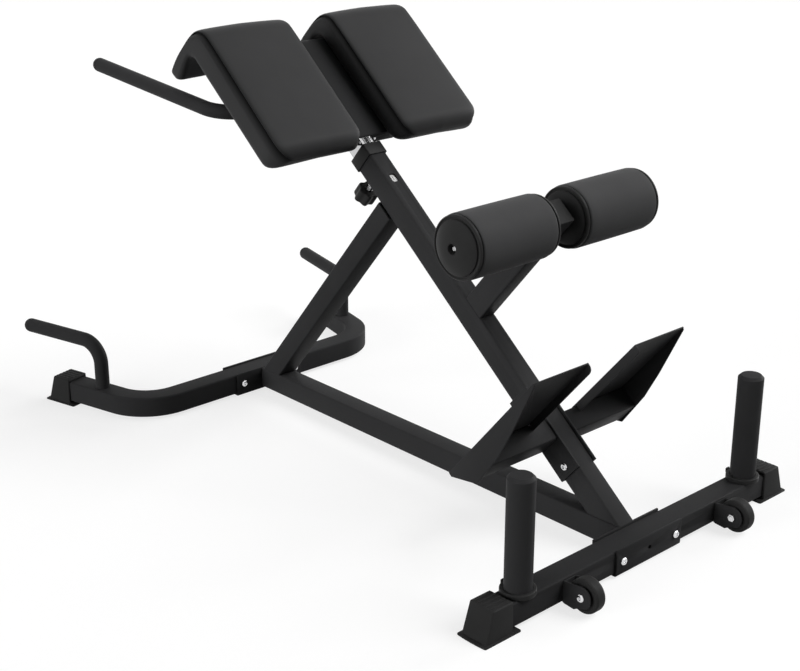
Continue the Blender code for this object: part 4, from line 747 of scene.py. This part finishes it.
def roller_cap_profile(outer):
    """An end cap's section, from the foam outward: a neck, an edge ring, a groove and a domed disc."""
    bore = AXLE_RADIUS + GAP
    hole = ROLLER_CAP_RECESS if outer else bore
    crown = hole + ROLLER_CROWN_INSET
    profile = filleted(ROLLER_CAP_EDGE)
    for step in range(ROLLER_DISC_STEPS + 1):
        share = 1 - step / ROLLER_DISC_STEPS
        drop = (ROLLER_CAP_FACE - ROLLER_DISC_EDGE) * share ** 2 + ROLLER_DISC_LIP * share ** 14
        radius = crown + (ROLLER_DISC_RADIUS - crown) * share
        profile.append((radius, ROLLER_CAP_FACE - drop))
    profile += [(hole + past, ROLLER_CAP_FACE - depth) for past, depth in ROLLER_HOLE_EDGE]
    if outer:
        profile += [(hole, ROLLER_CAP_SEAT), (bore, ROLLER_CAP_SEAT)]
    return profile + [(bore, GAP)]


def foam_profile():
    """The foam's section along its length, a little fuller in the middle than at its ends."""
    bore = AXLE_RADIUS + GAP
    length = ROLLER_FOAM_LENGTH
    edge = ROLLER_EDGE
    profile = [(bore, 0.0)]
    profile += arc((ROLLER_RADIUS - edge, edge), edge, -90, -4, 8)
    for step in range(1, ROLLER_SWELL_STEPS):
        share = step / ROLLER_SWELL_STEPS
        swell = ROLLER_SWELL * math.sin(math.pi * share)
        profile.append((ROLLER_RADIUS + swell, edge + (length - 2 * edge) * share))
    profile += arc((ROLLER_RADIUS - edge, length - edge), edge, 4, 90, 8)
    return profile + [(bore, length)]


def make_rollers():
    """The foam rollers with their caps."""
    for side, sign in SIDES.items():
        outward = (0, sign, 0)
        inward = (0, -sign, 0)
        inner = POST @ Vector((ROLLER_REACH, sign * ROLLER_INNER_END, ROLLER_HEIGHT_ON_POST))
        outer = inner + Vector(outward) * ROLLER_FOAM_LENGTH
        foam = lathe("foam", foam_profile(), aimed(inner, outward), ROLLER_SIDES, closed=True)
        roller = stand_in("foam_roller_" + side, foam)
        for name, seat, way in (("outer", outer, outward), ("inner", inner, inward)):
            profile = roller_cap_profile(name == "outer")
            cap = lathe("cap", profile, aimed(seat, way), ROLLER_SIDES, closed=True)
            stand_in(f"roller_cap_{name}_{side}", cap)


# Bars

BAR_SIDES = 40
# The seam of a bar's end cap: places back from the tip, as shares of the bar's radius, and its depth
BAR_SEAM = (1.35, 1.33, 1.25, 1.23)
BAR_SEAM_DEPTH = 0.0005
# The degrees between the rings of its dome, and the last ring's place and radius as shares
BAR_DOME_ANGLE = 9
BAR_TIP = (0.0015, 0.05)


def bar(name, corners, bend, radius, turn=None, domed_start=False, up=UP):
    """A bent round bar whose ends are capped with a dome, set off by a fine step."""
    points = bent_path(corners, bend)
    heading = (points[-1] - points[-2]).normalized()
    tip = points.pop()
    stations = [(point, radius) for point in points]
    depths = (0.0, BAR_SEAM_DEPTH, BAR_SEAM_DEPTH, 0.0)
    end = [(radius * share, radius - depth) for share, depth in zip(BAR_SEAM, depths)]
    for degrees in range(0, 90, BAR_DOME_ANGLE):
        angle = math.radians(degrees)
        end.append((radius * (1 - math.sin(angle)), radius * math.cos(angle)))
    end.append((radius * BAR_TIP[0], radius * BAR_TIP[1]))
    stations += [(tip - heading * back, size) for back, size in end]
    if domed_start:
        tip = stations.pop(0)[0]
        heading = (stations[0][0] - tip).normalized()
        start = [(tip + heading * back, size) for back, size in end]
        stations = start[::-1] + stations
    sections = [ring(size, BAR_SIDES) for _, size in stations]
    return sweep(name, [point for point, _ in stations], sections, turn, up)


def make_bars():
    """The handle bar behind the pads and the two push-up handles."""
    reach, spread = HANDLE_REACH, HANDLE_SPREAD
    corners = [(reach, -spread, 0), (0, -spread, 0), (0, spread, 0), (reach, spread, 0)]
    behind = PAD_POST_FRONT - PAD_POST_DEPTH - GAP - HANDLE_RADIUS
    seat = Matrix.Translation((behind, 0, HANDLE_HEIGHT_ON_POST))
    turn = Matrix.Rotation(math.pi + HANDLE_RISE + math.radians(90) - SLOPE, 4, "Y")
    place = POST @ seat @ turn
    stand_in("handle_bar", bar("bar", corners, HANDLE_BEND, HANDLE_RADIUS, place, domed_start=True))
    base_x = FRONT_X - REAR_OFFSET - PUSHUP_ARM_PLACE * math.cos(REAR_SPLAY)
    base_y = REAR_CORNER + PUSHUP_ARM_PLACE * math.sin(REAR_SPLAY)
    foot = Vector((0, 0, TUBE_CLEARANCE + TUBE_HEIGHT + GAP))
    top = Vector((0, 0, PUSHUP_HEIGHT))
    for side, sign in SIDES.items():
        heading = Vector((-math.cos(REAR_SPLAY), sign * math.sin(REAR_SPLAY), 0))
        base = Vector((base_x, sign * base_y, 0))
        corners = [base + foot, base + top, base + heading * PUSHUP_REACH + top]
        mesh = bar("bar", corners, PUSHUP_BEND, PUSHUP_RADIUS, up=heading)
        stand_in("pushup_handle_" + side, mesh)


# Weight horns and wheels

HORN_END_THICKNESS = 0.0085
HORN_ROUNDING = 0.0012
HORN_COLLAR_ROUNDING = 0.0024
HORN_COLLAR_FOOT_ROUNDING = 0.0004
HORN_COLLAR_BEVEL = 0.0006
HORN_TAB_BEVEL = 0.0006
WHEEL_SIDES = 72
WHEEL_HUB_TOP = 0.0125
WHEEL_HUB_FOOT = 0.0135
WHEEL_HUB_ROUNDING = 0.0005
WHEEL_ROUNDING = 0.0006
# The tread's two outer corners, each as distances in from its radius and from its side, and a fillet
WHEEL_CORNERS = ((0.0012, 0.0004, 0.0016), (0.0, 0.004, 0.003))


def make_horns():
    """The weight horns, their rings and latch tabs."""
    radius = HORN_RADIUS
    hollow = radius - HORN_WALL
    bore = radius + GAP
    outer, tall, bevel = HORN_COLLAR_RADIUS, HORN_COLLAR_HEIGHT, HORN_COLLAR_BEVEL
    collar = [(bore, 0, 0), (outer, 0, HORN_COLLAR_FOOT_ROUNDING),
              (outer, tall, HORN_COLLAR_ROUNDING), (bore + bevel, tall, bevel),
              (bore, tall - bevel, 0)]
    for side in SIDES:
        node = "weight_horn_" + side
        low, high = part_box(node)
        axis = middle(node)
        height = high.z - low.z
        ceiling = height - HORN_END_THICKNESS
        section = [(0, height, 0), (radius - HORN_CHAMFER, height, HORN_ROUNDING),
                   (radius, height - HORN_CHAMFER, HORN_ROUNDING), (radius, 0, 0), (hollow, 0, 0),
                   (hollow, ceiling, 0), (0, ceiling, 0)]
        place = Matrix.Translation((axis.x, axis.y, low.z))
        stand_in(node, lathe("horn", filleted(section), place))
        ring_mesh = lathe("ring", filleted(collar, closed=True), place, closed=True)
        stand_in("horn_collar_" + side, ring_mesh)
        softened("horn_tab_" + side, HORN_TAB_BEVEL)


def make_wheels():
    """The transport wheels: a rounded tread, a web set back and a hub."""
    for side in SIDES:
        node = "wheel_" + side
        low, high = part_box(node)
        half = (high.y - low.y) / 2
        radius = (high.z - low.z) / 2
        web = half - WHEEL_RECESS
        tread = radius - WHEEL_TREAD
        upper = [(WHEEL_BORE, half, 0), (WHEEL_HUB_TOP, half, WHEEL_HUB_ROUNDING),
                 (WHEEL_HUB_FOOT, web, WHEEL_ROUNDING), (tread, web, WHEEL_ROUNDING),
                 (tread + WHEEL_STEP, half, WHEEL_ROUNDING)]
        upper += [(radius - inset, half - down, fillet) for inset, down, fillet in WHEEL_CORNERS]
        section = upper + [(r, -h, f) for r, h, f in reversed(upper)]
        profile = filleted(section, closed=True)
        place = aimed(middle(node), Y_AXIS)
        stand_in(node, lathe("wheel", profile, place, WHEEL_SIDES, closed=True))


# Pop pin

KNOB_SIDES = 96
KNOB_LOBES = 6
# The knob's pocket at its front end: (height, radius) from the pin's bore outward
KNOB_POCKET = (
    (PIN_KNOB_POCKET_DEPTH, PIN_BORE), (PIN_KNOB_POCKET_DEPTH, PIN_KNOB_POCKET),
    (0.0004, PIN_KNOB_POCKET), (0.0, PIN_KNOB_POCKET + 0.0005),
)
# The lobed outline's rounded edges: (height from the end, inset) at the front and at the dished back
KNOB_FRONT = ((0.0, 0.0040), (0.0003, 0.0018), (0.0012, 0.0005), (0.0028, 0.0))
KNOB_BACK = (
    (0.0032, 0.0), (0.0014, 0.0005), (0.0004, 0.0018), (0.0, 0.0038), (0.0001, 0.0070),
    (0.0011, 0.0082), (0.0013, 0.0110),
)
BARREL_SIDES = 48
# The height and the radius of the barrel's foot, inside the hexagon
BARREL_FOOT = 0.0048
BARREL_FOOT_RADIUS = 0.0074
# Its thread: the ridges, where they start, and the length of the barrel that they leave free
THREAD_RIDGES = 12
THREAD_START = 0.0100
THREAD_FREE = 0.0106
# A ridge's (radius, share of the pitch) points, and the end's (radius, distance from the end) ones
THREAD_RIDGE = ((0.0070, 0.0), (0.0076, 0.35), (0.0076, 0.6), (0.0070, 0.95))
THREAD_END = ((0.0072, 0.0003), (0.0069, 0.0), (PIN_BORE, 0.0))


def lobed(inset):
    """The knob's outline with rounded lobes, set in by an even amount."""
    points = []
    for step in range(KNOB_SIDES):
        angle = 2 * math.pi * step / KNOB_SIDES
        size = PIN_KNOB_RADIUS + PIN_KNOB_LOBE * math.cos(KNOB_LOBES * angle) - inset
        points.append((size * math.cos(angle), size * math.sin(angle)))
    return points


def make_knob():
    """The pop pin's lobed knob with a dished end."""
    front = POST_BACK - GAP - PIN_BARREL_LENGTH - PIN_KNOB_GAP
    place = aimed(POST @ Vector((front, 0, PIN_HEIGHT_ON_POST)), -N_AXIS)
    outlines = [(height, ring(radius, KNOB_SIDES)) for height, radius in KNOB_POCKET]
    outlines += [(height, lobed(inset)) for height, inset in KNOB_FRONT]
    outlines += [(PIN_KNOB_LENGTH - height, lobed(inset)) for height, inset in KNOB_BACK]
    verts = [(x, y, height) for height, outline in outlines for x, y in outline]
    stand_in("pin_knob", mesh_from("knob", verts, skin(len(outlines), KNOB_SIDES), place))


def make_barrel():
    """The pop pin's threaded barrel with the hexagon at its foot."""
    place = aimed(POST @ Vector((POST_BACK - GAP, 0, PIN_HEIGHT_ON_POST)), -N_AXIS)
    profile = [(PIN_BORE, BARREL_FOOT), (BARREL_FOOT_RADIUS, BARREL_FOOT)]
    pitch = (PIN_BARREL_LENGTH - THREAD_FREE) / THREAD_RIDGES
    for ridge in range(THREAD_RIDGES):
        start = THREAD_START + ridge * pitch
        profile += [(radius, start + pitch * share) for radius, share in THREAD_RIDGE]
    profile += [(radius, PIN_BARREL_LENGTH - back) for radius, back in THREAD_END]
    barrel = lathe("barrel", profile, place, BARREL_SIDES, closed=True)
    add_hexagon(barrel, place, PIN_HEXAGON_RADIUS, 0.0, PIN_HEXAGON_LENGTH)
    stand_in("pin_barrel", barrel)


# How deep a hexagon's chamfer is, and the share of its radius that is left at its ends
HEXAGON_CHAMFER = 0.0006
HEXAGON_END = 0.90


def add_hexagon(mesh, place, radius, low, high):
    """Adds a nut-like hexagon with chamfered corners to a mesh."""
    work = bmesh.new()
    work.from_mesh(mesh)
    made = []
    levels = ((low, HEXAGON_END), (low + HEXAGON_CHAMFER, 1.0), (high - HEXAGON_CHAMFER, 1.0),
              (high, HEXAGON_END))
    for height, share in levels:
        corners = ring(radius * share, 6)
        made.append([work.verts.new(place @ Vector((x, y, height))) for x, y in corners])
    for first, second in zip(made, made[1:]):
        for step in range(6):
            after = (step + 1) % 6
            work.faces.new((first[step], first[after], second[after], second[step]))
    work.faces.new(made[0][::-1])
    work.faces.new(made[-1])
    work.to_mesh(mesh)
    work.free()


# Fasteners

FASTENER_SIDES = 48
HEAD_STEPS = 10
SOCKET_RADIUS = 0.0024
# The socket's foot, its mouth and its chamfer: shares of its radius, and depths below the head's top
SOCKET_POINTS = ((1.12, 0.0026), (1.16, 0.0004), (1.4, 0.00005))
# The head's straight side, how far its crown stays below its top, and its edge's chamfer
HEAD_SIDE = 0.0008
HEAD_CROWN = 0.0001
HEAD_CHAMFER = 0.0002
SHANK_CHAMFER = 0.0006


def bolt(node, direction, head=BOLT_HEAD_RADIUS, tall=BOLT_HEAD_HEIGHT, nutted=True):
    """A button head bolt with a socket, and its nut, between the ends of a CAD node's box."""
    low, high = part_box(node)
    direction = Vector(direction)
    length = abs((high - low).dot(direction))
    place = aimed(middle(node) + direction * (length / 2 - tall), direction)
    profile = [(SOCKET_RADIUS * share, tall - depth) for share, depth in SOCKET_POINTS]
    profile.insert(0, (0, profile[0][1]))
    edge = profile[-1][0]
    for step in range(1, HEAD_STEPS + 1):
        angle = math.radians(90 * (step / HEAD_STEPS))
        radius = edge + (head - edge) * math.sin(angle)
        height = HEAD_SIDE + (tall - HEAD_SIDE - HEAD_CROWN) * math.cos(angle)
        profile.append((radius, height))
    profile += [(head, HEAD_CHAMFER), (head - HEAD_CHAMFER, 0.0), (BOLT_RADIUS, 0.0)]
    bottom = -(length - tall)
    profile += [(BOLT_RADIUS, bottom + SHANK_CHAMFER), (BOLT_RADIUS - SHANK_CHAMFER, bottom),
                (0, bottom)]
    mesh = lathe("bolt", profile, place, FASTENER_SIDES)
    if nutted:
        add_hexagon(mesh, place, head, bottom + BOLT_END, bottom + BOLT_END + NUT_HEIGHT)
    return stand_in(node, mesh)


def make_fasteners():
    """Every bolt and screw."""
    for side, sign in SIDES.items():
        bolt("front_bracket_bolt_" + side, (1, 0, 0))
        bolt("rear_bracket_bolt_" + side, (1, 0, 0))
        bolt("wheel_bolt_" + side, (0, sign, 0))
        bolt("axle_screw_" + side, (0, sign, 0), AXLE_SCREW_HEAD, AXLE_SCREW_HEIGHT, nutted=False)
        softened("plate_screw_" + side, SCREW_EDGE)
    bolt("footrest_bolt", (0, -1, 0))


# Tubes, sheet parts and end caps

# CAD nodes whose own shape is kept, and how far their edges are rounded
TUBES = ("foot_stabilizer", "base_beam", "main_post", "rear_strut", "roller_arm", "pad_post",
         "footrest_crossmember_left", "footrest_crossmember_right")
TUBE_EDGE = 0.0005
SHEETS = ("front_bracket", "rear_bracket", "footrest_bracket", "pad_plate", "foot_plate_left",
          "foot_plate_right", "wheel_fork_left", "wheel_fork_right")
SHEET_EDGE = 0.0007
SMALL_PIECES = ("post_collar", "roller_arm_plug", "roller_axle", "pin_plunger")
SMALL_EDGE = 0.0005
LABEL_EDGE = 0.00025
SCREW_EDGE = 0.0003
END_CAPS = ("foot_cap_left", "foot_cap_right", "rear_cap_left", "rear_cap_right")
END_CAP_EDGE = 0.0010
REAR_BEND_STEPS = 28


def make_rear_tube():
    """The rear stabilizer, with smooth bends."""
    end_x = -REAR_ARM_LENGTH * math.cos(REAR_SPLAY)
    end_y = REAR_CORNER + REAR_ARM_LENGTH * math.sin(REAR_SPLAY)
    corners = [(end_x, -end_y, 0), (0, -REAR_CORNER, 0), (0, REAR_CORNER, 0), (end_x, end_y, 0)]
    path = bent_path(corners, REAR_BEND_RADIUS, REAR_BEND_STEPS)
    place = Matrix.Translation((FRONT_X - REAR_OFFSET, 0, TUBE_CLEARANCE + TUBE_HEIGHT / 2))
    section = rectangle(TUBE_DEPTH, TUBE_HEIGHT, TUBE_CORNER)
    stand_in("rear_stabilizer", sweep("tube", path, [section] * len(path), place))


def make_metal():
    """The other tubes, sheet parts, small pieces and end caps, copied with rounded edges."""
    for node in TUBES:
        softened(node, TUBE_EDGE)
    for node in SHEETS:
        softened(node, SHEET_EDGE)
    for node in SMALL_PIECES:
        softened(node, SMALL_EDGE)
    softened("position_label", LABEL_EDGE)
    for node in END_CAPS:
        softened(node, END_CAP_EDGE, 3, limit=25.0)


# Numbers on the position strip

NUMBER_SIZE = 0.0125
NUMBER_THICKNESS = 0.00004
NUMBER_LIFT = 0.00005


def make_scale():
    """The numbers on the position strip, one for each setting."""
    face = PAD_POST_FRONT - LABEL_RECESS + GAP + LABEL_THICKNESS + NUMBER_LIFT
    turn = Matrix((Y_AXIS, U_AXIS, N_AXIS)).transposed().to_4x4()
    for step in range(SLIDE_SETTINGS):
        curve = bpy.data.curves.new("number", "FONT")
        curve.body = str(step + 1)
        curve.size = NUMBER_SIZE
        curve.extrude = NUMBER_THICKNESS
        curve.align_x = "CENTER"
        curve.align_y = "CENTER"
        mesh = made_mesh(place_in_scene("number_draft", curve))
        seat = POST @ Vector((face, 0, WINDOW_HEIGHT_ON_POST - step * SLIDE_PITCH))
        mesh.transform(Matrix.Translation(seat) @ turn)
        add(f"scale_number_{step + 1}", mesh, "label_white", "pad_carriage", look="label_black")


# Surroundings

WORLD_LIGHT = 0.06
FLOOR_HALF_SIZE = 40.0
FLOOR_PLAIN = 0.14
FLOOR_SHADED = 0.30
FLOOR_GLOW = 0.745
LAMP_DISTANCE = 3
# Each lamp's name, the direction it shines from, its strength and width in degrees, and whether
# bright metal mirrors it
LAMPS = (
    ("overhead", (0.0, 0.0, 1.0), 0.2, 60, True),
    ("key", (0.60, 0.60, 0.95), 2.1, 35, True),
    ("rim", (0.10, 1.0, 0.25), 1.7, 30, True),
    ("side", (-0.15, -1.0, 0.10), 3.3, 40, False),
)
CAMERA_SENSOR = 36.0
CAMERA_LENS = 66.39
CAMERA_PLACE = (FRONT_X + 1.4298, -1.9155, 1.3225)
CAMERA_TURN = (math.radians(69.304), 0.0, math.radians(47.482))


def background_factor(tree):
    """Is 1 for rays from the camera, a mirror or glass, and 0 for light that bounces on."""
    path = tree.nodes.new("ShaderNodeLightPath")
    total = path.outputs["Is Camera Ray"]
    for name in ("Is Glossy Ray", "Is Transmission Ray"):
        both = tree.nodes.new("ShaderNodeMath")
        both.operation = "ADD"
        both.use_clamp = True
        tree.links.new(total, both.inputs[0])
        tree.links.new(path.outputs[name], both.inputs[1])
        total = both.outputs[0]
    return total


def grey_shader(tree, kind, level, strength=None):
    """A shader of one grey, and of a strength if it has one."""
    shader = tree.nodes.new(kind)
    shader.inputs["Color"].default_value = (level, level, level, 1)
    if strength is not None:
        shader.inputs["Strength"].default_value = strength
    return shader.outputs[0]


def background_mix(tree, light, seen, output):
    """Shows one shader to the camera and in mirrors, and another to light that bounces on."""
    mix = tree.nodes.new("ShaderNodeMixShader")
    tree.links.new(background_factor(tree), mix.inputs[0])
    tree.links.new(light, mix.inputs[1])
    tree.links.new(seen, mix.inputs[2])
    tree.links.new(mix.outputs[0], tree.nodes[output].inputs["Surface"])


def make_world():
    """Soft light from all around, seen as a white background."""
    world = bpy.data.worlds.new("studio")
    bpy.context.scene.world = world
    world.use_nodes = True
    tree = world.node_tree
    tree.nodes.remove(tree.nodes["Background"])
    light = grey_shader(tree, "ShaderNodeBackground", 1, WORLD_LIGHT)
    white = grey_shader(tree, "ShaderNodeBackground", 1, 1.0)
    background_mix(tree, light, white, "World Output")


def make_floor():
    """A white floor that keeps a faint shadow."""
    size = FLOOR_HALF_SIZE
    corners = [(-size, -size, 0), (size, -size, 0), (size, size, 0), (-size, size, 0)]
    mesh = mesh_from("floor", corners, [(0, 1, 2, 3)])
    material = bpy.data.materials.new("floor")
    material.use_nodes = True
    tree = material.node_tree
    tree.nodes.remove(tree.nodes["Principled BSDF"])
    plain = grey_shader(tree, "ShaderNodeBsdfDiffuse", FLOOR_PLAIN)
    both = tree.nodes.new("ShaderNodeAddShader")
    tree.links.new(grey_shader(tree, "ShaderNodeBsdfDiffuse", FLOOR_SHADED), both.inputs[0])
    tree.links.new(grey_shader(tree, "ShaderNodeEmission", 1, FLOOR_GLOW), both.inputs[1])
    background_mix(tree, plain, both.outputs[0], "Material Output")
    mesh.materials.append(material)
    place_in_scene("floor", mesh)


def make_lamps():
    """Soft, far lamps."""
    for name, direction, strength, width, mirrored in LAMPS:
        lamp = bpy.data.lights.new(name, "SUN")
        lamp.energy = strength
        lamp.angle = math.radians(width)
        item = place_in_scene(name, lamp)
        item.rotation_euler = Vector(direction).to_track_quat("Z", "Y").to_euler()
        item.location = Vector(direction).normalized() * LAMP_DISTANCE
        item.visible_glossy = mirrored


def make_camera():
    """The camera at the photograph's viewing angle."""
    lens = bpy.data.cameras.new("camera")
    lens.sensor_width = CAMERA_SENSOR
    lens.lens = CAMERA_LENS
    camera = place_in_scene("camera", lens)
    camera.location = CAMERA_PLACE
    camera.rotation_euler = CAMERA_TURN
    bpy.context.scene.camera = camera


make_camera()
make_world()
make_floor()
make_lamps()
bpy.context.scene.view_settings.view_transform = "Standard"

make_pads()
make_rollers()
make_bars()
make_horns()
make_wheels()
make_knob()
make_barrel()
make_fasteners()
make_rear_tube()
make_metal()
make_scale()
